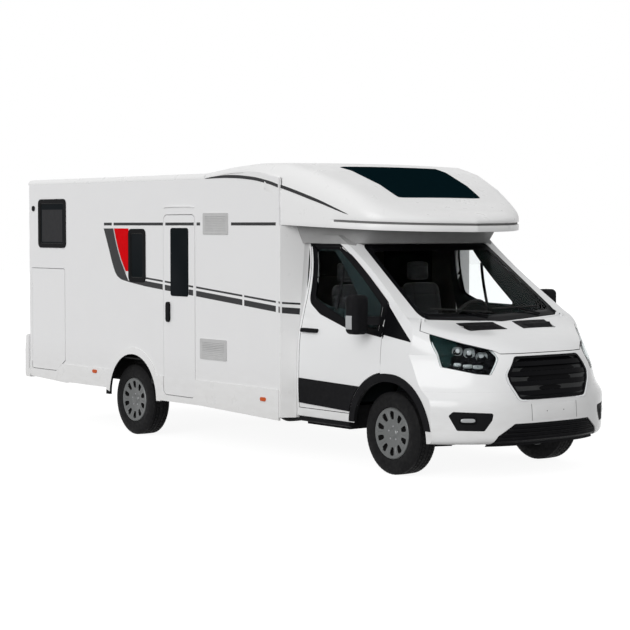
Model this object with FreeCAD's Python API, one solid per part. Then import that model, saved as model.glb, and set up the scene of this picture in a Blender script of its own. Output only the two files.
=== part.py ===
import FreeCAD, Part
import math
import os

# Low-profile motorhome: a coachbuilt house with a raised cap over a van cab, on four wheels.
# Frame: X forward, Y left, Z up, in millimetres. Lengths along X are laid out from the front
# axle's place, and each piece is moved as it is written to parts/, so that the origin lies on
# the ground under the middle of the vehicle.

V = FreeCAD.Vector

# Overall sizes
overall_length = 7095.0
body_width = 2350.0
wheelbase = 3954.0
front_overhang = 1016.0
rear_bumper_depth = 75.0
x_front_axle = 2479.0
x_nose = x_front_axle + front_overhang
x_rear_axle = x_front_axle - wheelbase
x_rear_bumper = x_nose - overall_length
x_middle = (x_nose + x_rear_bumper) / 2
x_rear_wall = x_rear_bumper + rear_bumper_depth
y_side = body_width / 2

# Wheels and running gear
tyre_radius = 362.0
tyre_width = 225.0
tyre_shoulder = 42.0
bead_radius = 212.0
rim_share = 0.78
rim_wall = 12.0
rim_lip = 14.0
disc_thickness = 12.0
disc_recess = 26.0
hub_radius = 78.0
hub_length = 60.0
spindle_radius = 32.0
spindle_gap = 0.3
slot_count = 10
slot_length = 74.0
slot_width = 34.0
slot_centre_radius = 138.0
front_track = 1732.0
rear_track = 1975.0
kingpin_inset = 164.0
kingpin_radius = 38.0
knuckle_height = 210.0
seat_gap = 0.3
steering_arm = 130.0
brake_radius = 140.0
brake_thickness = 26.0
damper_top = 900.0

# Chassis
rail_spacing = 860.0
rail_width = 60.0
rail_height = 110.0
rail_wall = 6.0
floor_bottom = 560.0
floor_thickness = 50.0
tow_bolt_x = -3240.0
tow_bolt_spacing = 100.0
tow_bolt_radius = 6.5
axle_tube_radius = 44.0
spring_width = 70.0
spring_half_length = 640.0

# House walls
wall = 30.0
seam = 0.3
x_wall_front = 1130.0
skirt_top = 655.0
skirt_bottom_rear = 466.0
skirt_bottom_mid = 409.0
skirt_bottom_front = 371.0
skirt_proud = 10.0
skirt_thickness = 26.0
roof_edge = 2662.0
roof_crown = 22.0
roof_corner = 50.0
roof_seam = 2608.0
hatch_y = 350.0
panel_gap = 6.0

# Rear wheel opening
rear_arch_forward = 112.0
rear_arch_height = 399.0
rear_arch_radius = 444.0
arch_moulding = 70.0
wheel_box_top = 800.0

# Cap over the cab
x_cap_rear = -70.0
cap_skin = 30.0
cap_floor_bottom = 2100.0
cap_floor_rise = 0.0475
cap_lip_thickness = 56.0
cap_groove = 22.0
cap_groove_depth = 14.0
x_groove_start = 1800.0
x_cap_nose = 2520.0
x_cap_turn = 900.0
brow_radius = 50.0
cap_opening = (1180.0, 1840.0, 640.0)
x_soffit_front = 2090.0
soffit_inset = 110.0
skylight = (1290.0, 2105.0, 640.0, 575.0)
skylight_corner = 60.0
skylight_thickness = 8.0

# Openings in the house, as (x0, x1, z0, z1)
entrance_door = (-786.0, -235.0, 476.0, 2262.0)
entrance_window = (-658.0, -343.0, 1462.0, 2136.0)
bedroom_window = (-3298.0, -2699.0, 1916.0, 2447.0)
dinette_window = (-1437.0, -1115.0, 1583.0, 2126.0)
kitchen_window = (-1500.0, -700.0, 1583.0, 2126.0)
lounge_window = (-150.0, 650.0, 1500.0, 2126.0)
garage_door = (-3448.0, -2735.0, 578.0, 1687.0)
garage_chamfer = (190.0, 118.0)
vents = [(-88.0, 329.0, 2073.0, 2280.0), (-142.0, 302.0, 867.0, 1066.0)]
frame_proud = 8.0
frame_width = 42.0
pane_thickness = 6.0
leaf_thickness = 24.0
leaf_proud = 1.5
side_pin_proud = 4.0
side_pin_radius = 2.8
side_knuckle = 24.0
side_plate = 26.0
side_plate_thickness = 2.0

# Cab
cab_half_width = 1030.0
cab_skin = 26.0
x_cab_rear = 1216.0
x_door_rear = 1246.0
x_door_front = 2390.0
door_top = 1990.0
x_door_head = 1668.0
pillar_low = 1490.0
door_bottom = 500.0
door_depth = 40.0
arch_door_gap = 10.0
door_hinge_z = 885.0
door_hinge_knuckle = 26.0
door_hinge_radius = 2.7
door_hinge_inset = 1.0
bonnet_hinge_x = 2715.0
bonnet_hinge_y = 845.0
bonnet_hinge_z = 1366.0
bonnet_hinge_radius = 3.5
sill_top = 490.0
sill_bottom = 420.0
x_sill_front = 1990.0
bulkhead_top = 980.0
cab_top = 2072.0
fairing_proud = 14.0
fairing_width = 46.0
front_arch_radius = 452.0
arch_trim = 70.0
arch_stretch = 45.0
trim_proud = 9.0
handle_proud = 28.0
bonnet_gap = 6.0

# Cab outline at the centre line from under the bumper up over the nose, as (x back from the
# nose, z, further sweep of the corners)
bumper_curve = [(56.0, 322.0, 0.0), (10.0, 352.0, 0.0), (0.0, 420.0, 0.0), (0.0, 560.0, 0.0),
                (14.0, 690.0, 0.0),
                (24.0, 770.0, 45.0), (40.0, 890.0, 82.0), (107.0, 1062.0, 110.0)]
bonnet_curve = [(107.0, 1062.0, 110.0), (190.0, 1140.0, 80.0), (420.0, 1240.0, 20.0), (686.0, 1327.0, 0.0)]
screen_top = (1595.0, 1995.0)
cowl_rise = 32.0
nose_sweep = 222.0
nose_sweep_at = 800.0
nose_sweep_power = 2.9
corner_start = 0.5
corner_power = 1.5
brow_share = 0.85
screen_bow = 98.0


def box(x0, x1, y0, y1, z0, z1):
    return Part.makeBox(x1 - x0, y1 - y0, z1 - z0, V(x0, y0, z0))


def cylinder(centre, axis, radius, length):
    """A cylinder whose middle is at centre."""
    direction = V(*axis).normalize()
    return Part.makeCylinder(radius, length, V(*centre) - direction * (length / 2), direction)


def mirrored(shape):
    """The same shape on the other side of the vehicle."""
    return shape.mirror(V(0, 0, 0), V(0, 1, 0))


def wire_through(points, place):
    """A closed wire through (u, v) or (u, v, radius) corners; place maps (u, v) to space."""
    count = len(points)
    corners = []
    for i in range(count):
        here = V(points[i][0], points[i][1], 0)
        radius = points[i][2] if len(points[i]) > 2 else 0.0
        if radius <= 0.0:
            corners.append((here, None, here))
            continue
        back = (V(points[i - 1][0], points[i - 1][1], 0) - here).normalize()
        following = points[(i + 1) % count]
        ahead = (V(following[0], following[1], 0) - here).normalize()
        half = back.getAngle(ahead) / 2
        reach = radius / math.tan(half)
        inward = (back + ahead).normalize()
        middle = here + inward * (radius / math.sin(half) - radius)
        corners.append((here + back * reach, middle, here + ahead * reach))
    edges = []
    for i in range(count):
        first, middle, last = corners[i]
        if middle is not None:
            edges.append(Part.Arc(place(first), place(middle), place(last)).toShape())
        onward = corners[(i + 1) % count][0]
        if (onward - last).Length > 1e-6:
            edges.append(Part.LineSegment(place(last), place(onward)).toShape())
    return Part.Wire(edges)


def prism_y(points, y0, y1):
    """An outline in X and Z, carried from y0 to y1."""
    return Part.Face(wire_through(points, lambda p: V(p.x, y0, p.y))).extrude(V(0, y1 - y0, 0))


def prism_x(points, x0, x1):
    """An outline in Y and Z, carried from x0 to x1."""
    return Part.Face(wire_through(points, lambda p: V(x0, p.x, p.y))).extrude(V(x1 - x0, 0, 0))


def prism_z(points, z0, z1):
    """An outline in X and Y, carried from z0 to z1."""
    return Part.Face(wire_through(points, lambda p: V(p.x, p.y, z0))).extrude(V(0, 0, z1 - z0))


def rectangle(bounds, radius, inset=0.0):
    """Rounded corners of (x0, x1, z0, z1), taken in by inset."""
    x0, x1, z0, z1 = bounds
    x0, x1, z0, z1 = x0 + inset, x1 - inset, z0 + inset, z1 - inset
    return [(x0, z0, radius), (x1, z0, radius), (x1, z1, radius), (x0, z1, radius)]


def save(name, shapes):
    """Write one piece, and say how many solids it has."""
    shapes = shapes if isinstance(shapes, list) else [shapes]
    solids = [solid for shape in shapes for solid in shape.Solids]
    for solid in solids:
        if not solid.isValid() or solid.Volume <= 0:
            print("fault", name, solid.isValid(), round(solid.Volume))
    print(name, len(solids))
    moved = [solid.translated(V(-x_middle, 0, 0)) for solid in solids]
    Part.makeCompound(moved).exportStep(os.path.join("parts", name + ".step"))


# House shell


def seam_height(x):
    """Height of the joint between the side wall and the roof mouldings."""
    points = [(x_rear_wall, roof_seam), (x_cap_rear, roof_seam), (360.0, 2648.0), (760.0, 2656.0),
              (x_wall_front, 2596.0)]
    for (xa, za), (xb, zb) in zip(points, points[1:]):
        if x <= xb:
            return za + (zb - za) * (x - xa) / (xb - xa)
    return points[-1][1]


def garage_outline(gap):
    """Garage door outline with its lower front corner cut off, grown by gap."""
    x0, x1, z0, z1 = garage_door
    across, up = garage_chamfer
    x0, x1, z0, z1 = x0 - gap, x1 + gap, z0 - gap, z1 + gap
    return [(x0, z0, 12), (x1 - across, z0, 30), (x1, z0 + up, 30), (x1, z1, 30), (x0, z1, 12)]


def rear_arch(radius_change, y0, y1):
    centre = (x_rear_axle + rear_arch_forward, (y0 + y1) / 2, rear_arch_height)
    return cylinder(centre, (0, 1, 0), rear_arch_radius + radius_change, abs(y1 - y0))


def side_wall(sign, windows):
    """Sandwich side panel from the skirt to the roof seam, with its openings cut."""
    outer, inner = sign * y_side, sign * (y_side - wall)
    x0 = x_rear_wall + wall + seam
    top = [(x, seam_height(x)) for x in (x_wall_front, 760.0, 360.0, x_cap_rear, x0)]
    panel = prism_y([(x0, skirt_top), (x_wall_front, skirt_top)] + top, outer, inner)
    reach = (outer + sign * 50, inner - sign * 50)
    for bounds in windows:
        panel = panel.cut(prism_y(rectangle(bounds, 40, frame_width / 2), *reach))
    plates = side_hinges(garage_door[0] - panel_gap / 2, sign, (760.0, 1450.0), 1)[0]
    panel = panel.cut(prism_y(garage_outline(panel_gap), *reach))
    panel = panel.cut(rear_arch(arch_moulding, *reach))
    if sign < 0:
        panel = panel.cut(prism_y(rectangle(entrance_door, 60, -panel_gap), *reach))
        for bounds in vents:
            panel = panel.cut(prism_y(rectangle(bounds, 12, 25), *reach))
        plates += side_hinges(entrance_door[1] + panel_gap / 2, -1, (700.0, 1950.0), -1)[0]
    return panel.fuse(plates)


def skirt(sign):
    """Lower side moulding with the wheel opening and its raised band."""
    outer, inner = sign * (y_side + skirt_proud), sign * (y_side + skirt_proud - skirt_thickness)
    x0 = x_rear_wall + wall + seam
    outline = [(x0, skirt_top - seam), (x0, skirt_bottom_rear + 20, 40),
               (-2700.0, skirt_bottom_rear - 12, 30),
               (-2640.0, skirt_bottom_rear - 2, 30), (-1800.0, skirt_bottom_rear), (-900.0, 452.0),
               (-860.0, skirt_bottom_mid, 20), (-120.0, skirt_bottom_mid),
               (x_wall_front, skirt_bottom_front),
               (x_wall_front, skirt_top - seam)]
    reach = (outer + sign * 50, inner - sign * 50)
    panel = prism_y(outline, outer, inner)
    band = rear_arch(arch_moulding - seam, outer, inner).common(
        box(-2400, -300, -1500, 1500, rear_arch_height, 1200))
    panel = panel.fuse(band).removeSplitter()
    panel = panel.cut(prism_y(garage_outline(panel_gap), *reach))
    if sign < 0:
        panel = panel.cut(prism_y(rectangle(entrance_door, 60, -panel_gap), *reach))
    panel = panel.cut(rear_arch(0, *reach))
    step = box(x_rear_wall, x_wall_front, min(0, sign * 1500), max(0, sign * 1500), skirt_top - seam, 1500)
    upper_inner = sign * y_side
    behind = step.cut(box(x_rear_wall, x_wall_front, min(upper_inner, sign * 1500),
                          max(upper_inner, sign * 1500),
                          0, 1600))
    return panel.cut(behind.common(rear_arch(arch_moulding + 20, outer + sign * 60, sign * 1000)))


def shell_wire(x, half, bottom, edge, crown, radius):
    """Closed section at x: flat underside, straight sides, rounded corners and a crowned top."""
    k = radius * (1 - math.sqrt(0.5))
    edges = [
        Part.LineSegment(V(x, -half, bottom), V(x, -half, edge - radius)),
        Part.Arc(V(x, -half, edge - radius), V(x, -half + k, edge - k), V(x, -half + radius, edge)),
        Part.Arc(V(x, -half + radius, edge), V(x, 0, edge + crown), V(x, half - radius, edge)),
        Part.Arc(V(x, half - radius, edge), V(x, half - k, edge - k), V(x, half, edge - radius)),
        Part.LineSegment(V(x, half, edge - radius), V(x, half, bottom)),
        Part.LineSegment(V(x, half, bottom), V(x, -half, bottom)),
    ]
    return Part.Wire([edge.toShape() for edge in edges])


def roof():
    x0 = x_rear_wall
    outer = Part.Face(shell_wire(x0, y_side, roof_seam + seam, roof_edge, roof_crown, roof_corner))
    inner = Part.Face(shell_wire(x0, y_side - wall, roof_seam - 50, roof_edge - wall, roof_crown,
                                 roof_corner - 20))
    run = V(x_cap_rear - seam - x0, 0, 0)
    top = roof_edge + roof_crown + 1
    tail = prism_y([(x0, roof_seam - 80), (x_cap_rear, roof_seam - 80), (x_cap_rear, top),
                    (x0, top, roof_corner)],
                   -1400, 1400)
    return outer.extrude(run).common(tail).cut(inner.extrude(run).common(box(x0 + wall, 0, -1400, 1400, 0,
                                                                             3000)))


def rear_wall():
    """Rear panel between the two sides, with rounded corners, standing on the bumper."""
    x0, x1 = x_rear_wall, x_rear_wall + wall
    corner = wall - 4
    return prism_z([(x0, y_side, corner), (x0, -y_side, corner), (x1, -y_side), (x1, y_side)],
                   floor_bottom - 5 + seam, roof_seam)


# Cap stations along the vehicle, as (x, half width, edge height, crown, corner radius)
cap_stations = [
    (x_cap_rear, y_side, roof_edge, roof_crown, roof_corner),
    (360.0, y_side, 2708.0, 20.0, 55.0),
    (760.0, y_side, 2742.0, 20.0, 80.0),
    (1130.0, y_side, 2712.0, 40.0, 110.0),
    (1450.0, 1118.0, 2600.0, 84.0, 140.0),
    (1800.0, 1040.0, 2466.0, 118.0, 150.0),
    (2100.0, 990.0, 2330.0, 132.0, 140.0),
    (2560.0, 960.0, 2110.0, 120.0, 110.0),
]
# Right half of the cap's bowed front seen from above, as (x, half width, outward direction)
cap_front = [(1350.0, 1130.0, 0.16, 0.98), (1700.0, 1048.0, 0.28, 0.96), (2050.0, 932.0, 0.45, 0.89),
             (2225.0, 790.0, 0.78, 0.62), (2415.0, 480.0, 0.91, 0.42), (x_cap_nose, 0.0, 1.0, 0.0)]


def cap_plan_wire(inset, z0, x_back, nose_back=0.0, side_in=0.0):
    """The cap seen from above: straight sides that run on into one bowed curve round the nose."""
    side = y_side - inset - side_in
    back, sideways = inset + nose_back, inset + side_in
    right = [V(x - back * out_x, sideways * out_y - y, z0) for x, y, out_x, out_y in cap_front]
    left = [V(point.x, -point.y, z0) for point in right[-2::-1]]
    x_turn = max(x_cap_turn, x_back + 1)
    front = Part.BSplineCurve()
    front.interpolate([V(x_turn, -side, z0)] + right + left + [V(x_turn, side, z0)],
                      InitialTangent=V(1, 0, 0), FinalTangent=V(-1, 0, 0))
    straight = [Part.LineSegment(V(x_back, -side, z0), V(x_turn, -side, z0)), front,
                Part.LineSegment(V(x_turn, side, z0), V(x_back, side, z0)),
                Part.LineSegment(V(x_back, side, z0), V(x_back, -side, z0))]
    return Part.Wire([edge.toShape() for edge in straight])


def cap_plan(inset, x_back):
    """The cap's outline as a tall column, taken in by inset."""
    return Part.Face(cap_plan_wire(inset, 1900.0, x_back)).extrude(V(0, 0, 1100.0))


def cap_layer(bottom, top):
    """Layer of space that rises rearwards with the cap's floor; heights are over its underside."""
    x0, x1 = x_cap_rear - 50, x_cap_nose + 50
    z0 = cap_floor_bottom + cap_floor_rise * (x_cap_nose - x0)
    z1 = cap_floor_bottom - cap_floor_rise * 50
    return prism_y([(x0, z0 + bottom), (x1, z1 + bottom), (x1, z1 + top), (x0, z0 + top)], -1400, 1400)


def cap_loft(inset):
    low = 1900.0
    wires = [shell_wire(x, half - inset, low, edge - inset, crown, max(radius - inset, 12))
             for x, half, edge, crown, radius in cap_stations]
    return Part.makeLoft(wires, True, False)


def cap_hatch():
    """Way from the cab up into the cap."""
    x0, x1, half = cap_opening
    return prism_z([(x0, -half, 80), (x1, -half, 80), (x1, half, 80), (x0, half, 80)], 1900.0, 2260.0)


def skylight_zone(gap):
    x0, x1, back, ahead = skylight
    return prism_z(grown([(x0, -back, skylight_corner), (x1, -ahead, skylight_corner),
                          (x1, ahead, skylight_corner),
                          (x0, back, skylight_corner)], -gap), 2200, 3000)


def overcab_cap():
    """Hollow moulding over the cab with a groove above its lip and an opening for the skylight."""
    outer = cap_loft(0).common(cap_plan(0, x_cap_rear)).common(cap_layer(0, 1000))
    inner = cap_loft(cap_skin).common(cap_plan(cap_skin,
                                               x_cap_rear - 10)).common(cap_layer(cap_lip_thickness, 1000))
    cap = outer.cut(inner)
    brow = [edge for edge in cap.Edges if edge.BoundBox.XMax > x_cap_nose - 5
            and edge.BoundBox.YLength > y_side
            and edge.BoundBox.ZMin > cap_floor_bottom + 90]
    cap = cap.makeFillet(brow_radius, brow)
    sides = [(x_cap_rear - 20, 2000.0), (x_wall_front + seam, 2000.0)]
    sides += [(x, seam_height(x) + seam) for x in (x_wall_front + seam, 760.0, 360.0, x_cap_rear,
                                                   x_cap_rear - 20)]
    cap = cap.cut(prism_y(sides, -1400, 1400))
    ring = cap_plan(-40, x_groove_start).cut(cap_plan(cap_groove_depth, x_wall_front))
    cap = cap.cut(ring.common(cap_layer(cap_lip_thickness, cap_lip_thickness + cap_groove)))
    return cap.cut(skylight_zone(0)).cut(cap_hatch())


def soffit():
    """Sloping underside between the cap's lip and the head of the cab."""
    low = door_top + panel_gap + 3
    upper = cap_plan_wire(soffit_inset, 2220.0, x_wall_front + seam, 40.0, 20.0)
    lower = cap_plan_wire(soffit_inset, low, x_wall_front + seam,
                          x_cap_nose - soffit_inset - x_soffit_front, 90.0)
    body = Part.makeLoft([lower, upper], True, True).cut(cap_layer(-seam, 1000))
    for post in front_fairing(seam):
        body = body.cut(post)
    return body.cut(cap_hatch()).cut(cab_solid(-seat_gap))


# Cab shell


def cab_wire(y, inset):
    """Outline of the cab in X and Z at a distance y from the middle."""
    out = abs(y) / nose_sweep_at
    drop = nose_sweep * out ** nose_sweep_power
    bow = screen_bow * out ** 2
    turned = (max(out - corner_start, 0.0) / (1.0 - corner_start)) ** corner_power
    low, brow = bumper_curve[0][1], bumper_curve[-1][1]
    lip, cowl = bonnet_curve[0][0], bonnet_curve[-1][0]

    def place(back, z, corner, share):
        sweep = drop * share + bow * (1 - share) + corner * turned
        return V(x_nose - back - sweep - inset, y, z)

    bumper = [place(back, z, corner, 1.0 - (1.0 - brow_share) * (z - low) / (brow - low))
              for back, z, corner in bumper_curve]
    bonnet = [bumper[-1]]
    for back, z, corner in bonnet_curve[1:]:
        rise = cowl_rise * out ** 2 * ((back - lip) / (cowl - lip)) ** 2
        bonnet.append(place(back, z - inset + rise, corner, brow_share * (cowl - back) / (cowl - lip)))
    head = place(screen_top[0], screen_top[1] - inset, 0.0, 0.0)
    slope = (head.z - bonnet[-1].z) / (head.x - bonnet[-1].x)
    peak = V(head.x + (cab_top - inset - head.z) / slope, y, cab_top - inset)
    start = V(x_cab_rear - 5 * (inset > 0), y, cab_top - inset)
    foot = V(start.x, y, bumper[0].z - 60 * (inset > 0))
    toe = V(bumper[0].x, y, foot.z)
    edges = []
    if inset > 0:
        edges.append(Part.LineSegment(toe, bumper[0]).toShape())
    nose = Part.BSplineCurve()
    nose.interpolate(bumper)
    edges.append(nose.toShape())
    top = Part.BSplineCurve()
    top.interpolate(bonnet)
    edges.append(top.toShape())
    edges += [Part.LineSegment(bonnet[-1], peak).toShape(), Part.LineSegment(peak, start).toShape(),
              Part.LineSegment(start, foot).toShape(), Part.LineSegment(foot, toe).toShape()]
    return Part.Wire(edges)


def cab_front_view(inset):
    """Outline of the cab in Y and Z, with its waist and the lean of its upper sides."""
    w = cab_half_width - inset
    side = [(w - 22, 300.0), (w, 560.0), (w, 960.0), (w - 14, 1150.0), (w - 42, 1290.0), (w - 112, 2100.0)]
    right = Part.BSplineCurve()
    right.interpolate([V(0, -y, z) for y, z in side])
    left = Part.BSplineCurve()
    left.interpolate([V(0, y, z) for y, z in side])
    edges = [right.toShape(), Part.LineSegment(V(0, -side[-1][0], 2100.0),
                                               V(0, side[-1][0], 2100.0)).toShape(),
             left.toShape(), Part.LineSegment(V(0, side[0][0], 300.0), V(0, -side[0][0], 300.0)).toShape()]
    face = Part.Face(Part.Wire(Part.__sortEdges__(edges)))
    return face.extrude(V(3700, 0, 0))


def cab_solid(inset):
    half = [1045.0, 940.0, 780.0, 600.0, 400.0]
    stations = [-y for y in half] + [0.0] + half[::-1]
    loft = Part.makeLoft([cab_wire(y, inset) for y in stations], True, False)
    return loft.common(cab_front_view(inset))


def door_outline(gap):
    """Cab door in X and Z, cut away at the front over the wheel arch trim."""
    arch = front_arch_radius + arch_trim + arch_door_gap - gap * arch_door_gap / panel_gap
    x0, x1, z0, z1 = x_door_rear - gap, x_door_front + gap, door_bottom - gap, door_top + gap
    pillar_foot = V(x_door_front + gap, 0, pillar_low + gap)
    pillar_head = V(x_door_head + gap, 0, z1)

    def on_arch(x):
        return V(x, 0, tyre_radius + math.sqrt(arch ** 2 - (x - x_front_axle) ** 2))

    low = V(x_front_axle - math.sqrt(arch ** 2 - (z0 - tyre_radius) ** 2), 0, z0)
    high = on_arch(x1)
    middle = on_arch((low.x + high.x) / 2 - 60)
    edges = [Part.LineSegment(V(x0, 0, z0), low), Part.Arc(low, middle, high),
             Part.LineSegment(high, pillar_foot),
             Part.LineSegment(pillar_foot, pillar_head), Part.LineSegment(pillar_head, V(x0, 0, z1)),
             Part.LineSegment(V(x0, 0, z1), V(x0, 0, z0))]
    return Part.Face(Part.Wire([edge.toShape() for edge in edges]))


def side_slab(face, sign, y0=700.0, y1=1300.0):
    """An X-Z face carried outwards on one side."""
    moved = face.copy()
    moved.translate(V(0, sign * y0, 0))
    return moved.extrude(V(0, sign * (y1 - y0), 0))


door_glass_outline = [(1296.0, 1970.0, 40), (1330.0, 1490.0, 60), (1560.0, 1392.0, 90),
                      (1890.0, 1285.0, 120),
                      (2332.0, 1224.0, 14), (2332.0, 1478.0, 14), (1652.0, 1970.0, 50)]
quarter_outline = [(2404.0, 1214.0, 6), (2790.0, 1166.0, 6), (2404.0, 1472.0, 6)]
screen_outline = [(-760.0, 1992.0, 50), (-832.0, 1352.0, 70), (0.0, 1316.0, 0), (832.0, 1352.0, 70),
                  (760.0, 1992.0, 50)]
bonnet_outline = [(-1100.0, 1342.0), (-886.0, 1242.0), (-700.0, 1162.0), (-526.0, 1107.0), (-480.0, 1080.0),
                  (480.0, 1080.0), (526.0, 1107.0), (700.0, 1162.0), (886.0, 1242.0), (1100.0, 1342.0),
                  (1100.0, 1700.0), (-1100.0, 1700.0)]
lamp_outline = [(526.0, 1101.0, 18), (514.0, 1040.0, 30), (600.0, 903.0, 22), (700.0, 912.0),
                (890.0, 966.0),
                (1100.0, 1020.0), (1100.0, 1336.0), (886.0, 1236.0), (700.0, 1156.0)]
lamp_edge = [(2862.0, 1290.0), (2876.0, 1232.0, 20), (3026.0, 955.0), (3060.0, 860.0), (3700.0, 860.0),
             (3700.0, 1290.0)]
grille_outline = [(-375.0, 1056.0, 50), (375.0, 1056.0, 50), (482.0, 905.0, 60), (470.0, 840.0, 60),
                  (385.0, 690.0, 45),
                  (-385.0, 690.0, 45), (-470.0, 840.0, 60), (-482.0, 905.0, 60)]
intake_outline = [(-440.0, 494.0, 25), (440.0, 494.0, 25), (585.0, 395.0, 20), (640.0, 300.0),
                  (-640.0, 300.0),
                  (-585.0, 395.0, 20)]
fog_outline = [(622.0, 588.0, 18), (905.0, 603.0, 18), (930.0, 568.0, 18), (876.0, 443.0, 18),
               (690.0, 438.0, 18),
               (632.0, 528.0, 18)]
vent_slot = [(2905.0, 168.0), (2880.0, 540.0), (2972.0, 524.0), (2998.0, 150.0)]


def grown(points, amount):
    """An outline with every side moved outwards by amount."""
    count = len(points)
    area = sum(points[i - 1][0] * points[i][1] - points[i][0] * points[i - 1][1] for i in range(count))
    way = 1.0 if area > 0 else -1.0
    moved = []
    for i in range(count):
        here, before, after = points[i], points[i - 1], points[(i + 1) % count]
        first = V(here[0] - before[0], here[1] - before[1], 0).normalize()
        second = V(after[0] - here[0], after[1] - here[1], 0).normalize()
        out_first, out_second = V(first.y, -first.x, 0) * way, V(second.y, -second.x, 0) * way
        reach = amount / (1 + out_first.dot(out_second))
        turn = way * first.cross(second).z
        radius = [max(here[2] + (amount if turn > 0 else -amount),
                      0.0)] if len(here) > 2 and here[2] else []
        moved.append((here[0] + (out_first.x + out_second.x) * reach,
                      here[1] + (out_first.y + out_second.y) * reach,
                      *radius))
    return moved


def front_region(points, x0=2650.0, x1=3700.0):
    return prism_x(points, x0, x1)


def bonnet_region(gap):
    """Space that the bonnet takes: above the lamps and ahead of the windscreen."""
    ahead = 22.0 - gap
    edges = [
        Part.Arc(V(2704 + ahead, -842 - gap, 900), V(2812 + ahead, 0, 900),
                 V(2704 + ahead, 842 + gap, 900)),
        Part.LineSegment(V(2704 + ahead, 842 + gap, 900), V(2940 + ahead, 1100, 900)),
        Part.LineSegment(V(2940 + ahead, 1100, 900), V(3800, 1100, 900)),
        Part.LineSegment(V(3800, 1100, 900), V(3800, -1100, 900)),
        Part.LineSegment(V(3800, -1100, 900), V(2940 + ahead, -1100, 900)),
        Part.LineSegment(V(2940 + ahead, -1100, 900), V(2704 + ahead, -842 - gap, 900)),
    ]
    plan = Part.Face(Part.Wire([edge.toShape() for edge in edges])).extrude(V(0, 0, 900))
    raised = [(y, z - gap) for y, z in bonnet_outline]
    return plan.common(prism_x(raised, 2600, 3800))


def front_arch(radius, y0, y1):
    """Wheel opening: a round one drawn out forwards."""
    round_end = cylinder((x_front_axle, (y0 + y1) / 2, tyre_radius), (0, 1, 0), radius, abs(y1 - y0))
    ahead = round_end.translated(V(arch_stretch, 0, 0))
    between = box(x_front_axle, x_front_axle + arch_stretch, min(y0, y1), max(y0, y1), tyre_radius - radius,
                  tyre_radius + radius)
    return round_end.fuse([ahead, between]).removeSplitter()


def arches(radius):
    return front_arch(radius, 700, 1300).fuse(front_arch(radius, -1300, -700))


def build_cab(outer, inner):
    """Cab shell, bumper, bonnet, doors and the pieces let into them."""
    skin = outer.cut(inner)
    deep = outer.cut(cab_solid(door_depth))
    bumper_zone = box(x_front_axle + 40, 3700, -1300, 1300, 0, 762)
    lamp_zone = front_region(lamp_outline).common(prism_y(lamp_edge, 400, 1300))
    lamp_zone = lamp_zone.fuse(mirrored(lamp_zone))
    fog_zone = front_region(fog_outline).fuse(mirrored(front_region(fog_outline)))
    grille_zone = front_region(grille_outline)
    intake_zone = front_region(intake_outline)
    screen_zone = prism_x(screen_outline, 1500, 3000)
    top_zone = box(1000, 1935, -820, 820, 2040, 2300)
    door_space = side_slab(door_outline(panel_gap), 1)
    quarter = side_slab(prism_y_face(quarter_outline), 1)

    shell = skin.cut(bonnet_region(bonnet_gap)).cut(lamp_zone).cut(grille_zone).cut(screen_zone).cut(top_zone)
    shell = shell.cut(door_space).cut(mirrored(door_space)).cut(quarter).cut(mirrored(quarter))
    shell = shell.cut(arches(front_arch_radius)).cut(bumper_zone)
    shell = shell.cut(box(x_cab_rear - 10, x_sill_front + 70, -1300, 1300, 0, sill_bottom))
    y_floor = cab_half_width - door_depth - 40
    for sign in (-1, 1):
        lo, hi = sorted((sign * (y_floor - 10), sign * (cab_half_width + 20)))
        shell = shell.fuse(box(x_cab_rear, x_sill_front, lo, hi, sill_bottom, sill_top).common(outer))
    door_post, door_leaf = cab_door_hinge()
    bonnet_post, bonnet_arm = bonnet_hinge()
    shell = shell.fuse([door_post, mirrored(door_post), bonnet_post,
                        mirrored(bonnet_post)]).removeSplitter()
    save("cab_shell", [piece for piece in shell.Solids if piece.Volume > 2e4])

    bumper = skin.common(box(x_front_axle + 40, 3700, -1300, 1300, 0, 762 - seam))
    bumper = bumper.cut(arches(front_arch_radius + 2)).cut(fog_zone).cut(intake_zone).cut(grille_zone)
    save("front_bumper", [piece for piece in bumper.Solids if piece.Volume > 2e4])

    bonnet = outer.cut(cab_solid(cab_skin - 4)).common(bonnet_region(0))
    slot = prism_z(vent_slot, 1200.0, 1400.0)
    bonnet = bonnet.cut(slot).cut(mirrored(slot)).fuse([bonnet_arm, mirrored(bonnet_arm)]).removeSplitter()
    save("bonnet", bonnet)

    lamp_space = front_region(grown(lamp_outline, -seat_gap))
    lamps = outer.cut(cab_solid(60)).common(lamp_space).common(prism_y(grown(lamp_edge, -seat_gap), 400,
                                                                       1300))
    save("headlamps", [lamps, mirrored(lamps)])

    fog = cab_solid(4).cut(cab_solid(34)).common(front_region(grown(fog_outline, -seat_gap)))
    save("fog_lamps", [fog, mirrored(fog)])

    screen = cab_solid(2).cut(cab_solid(8)).common(prism_x(grown(screen_outline, -seat_gap), 1500, 3000))
    save("windscreen", screen)

    save("grille", grille())

    intake = cab_solid(14).cut(cab_solid(26)).common(front_region(grown(intake_outline, -seat_gap)))
    save("lower_intake", intake)

    doors(outer, deep, door_leaf)
    pane = cab_solid(2).cut(cab_solid(8)).common(side_slab(prism_y_face(grown(quarter_outline, -seat_gap)),
                                                           1))
    save("quarter_panels", [pane, mirrored(pane)])

    ring = cab_solid(-trim_proud).cut(cab_solid(8)).common(
        front_arch(front_arch_radius + arch_trim, 760, 1300).cut(front_arch(front_arch_radius, 700, 1350)))
    trim = ring.common(box(1900, 3300, 700, 1300, 430, 1200)).cut(outer)
    step = prism_x([(930.0, sill_bottom - seat_gap), (930.0, 392.0, 8), (1012.0, 372.0, 8),
                    (1042.0, 386.0, 12),
                    (1042.0, sill_bottom - seat_gap)], 1262.0, 1985.0)
    save("cab_trims", [trim, mirrored(trim), step, mirrored(step)])


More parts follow.
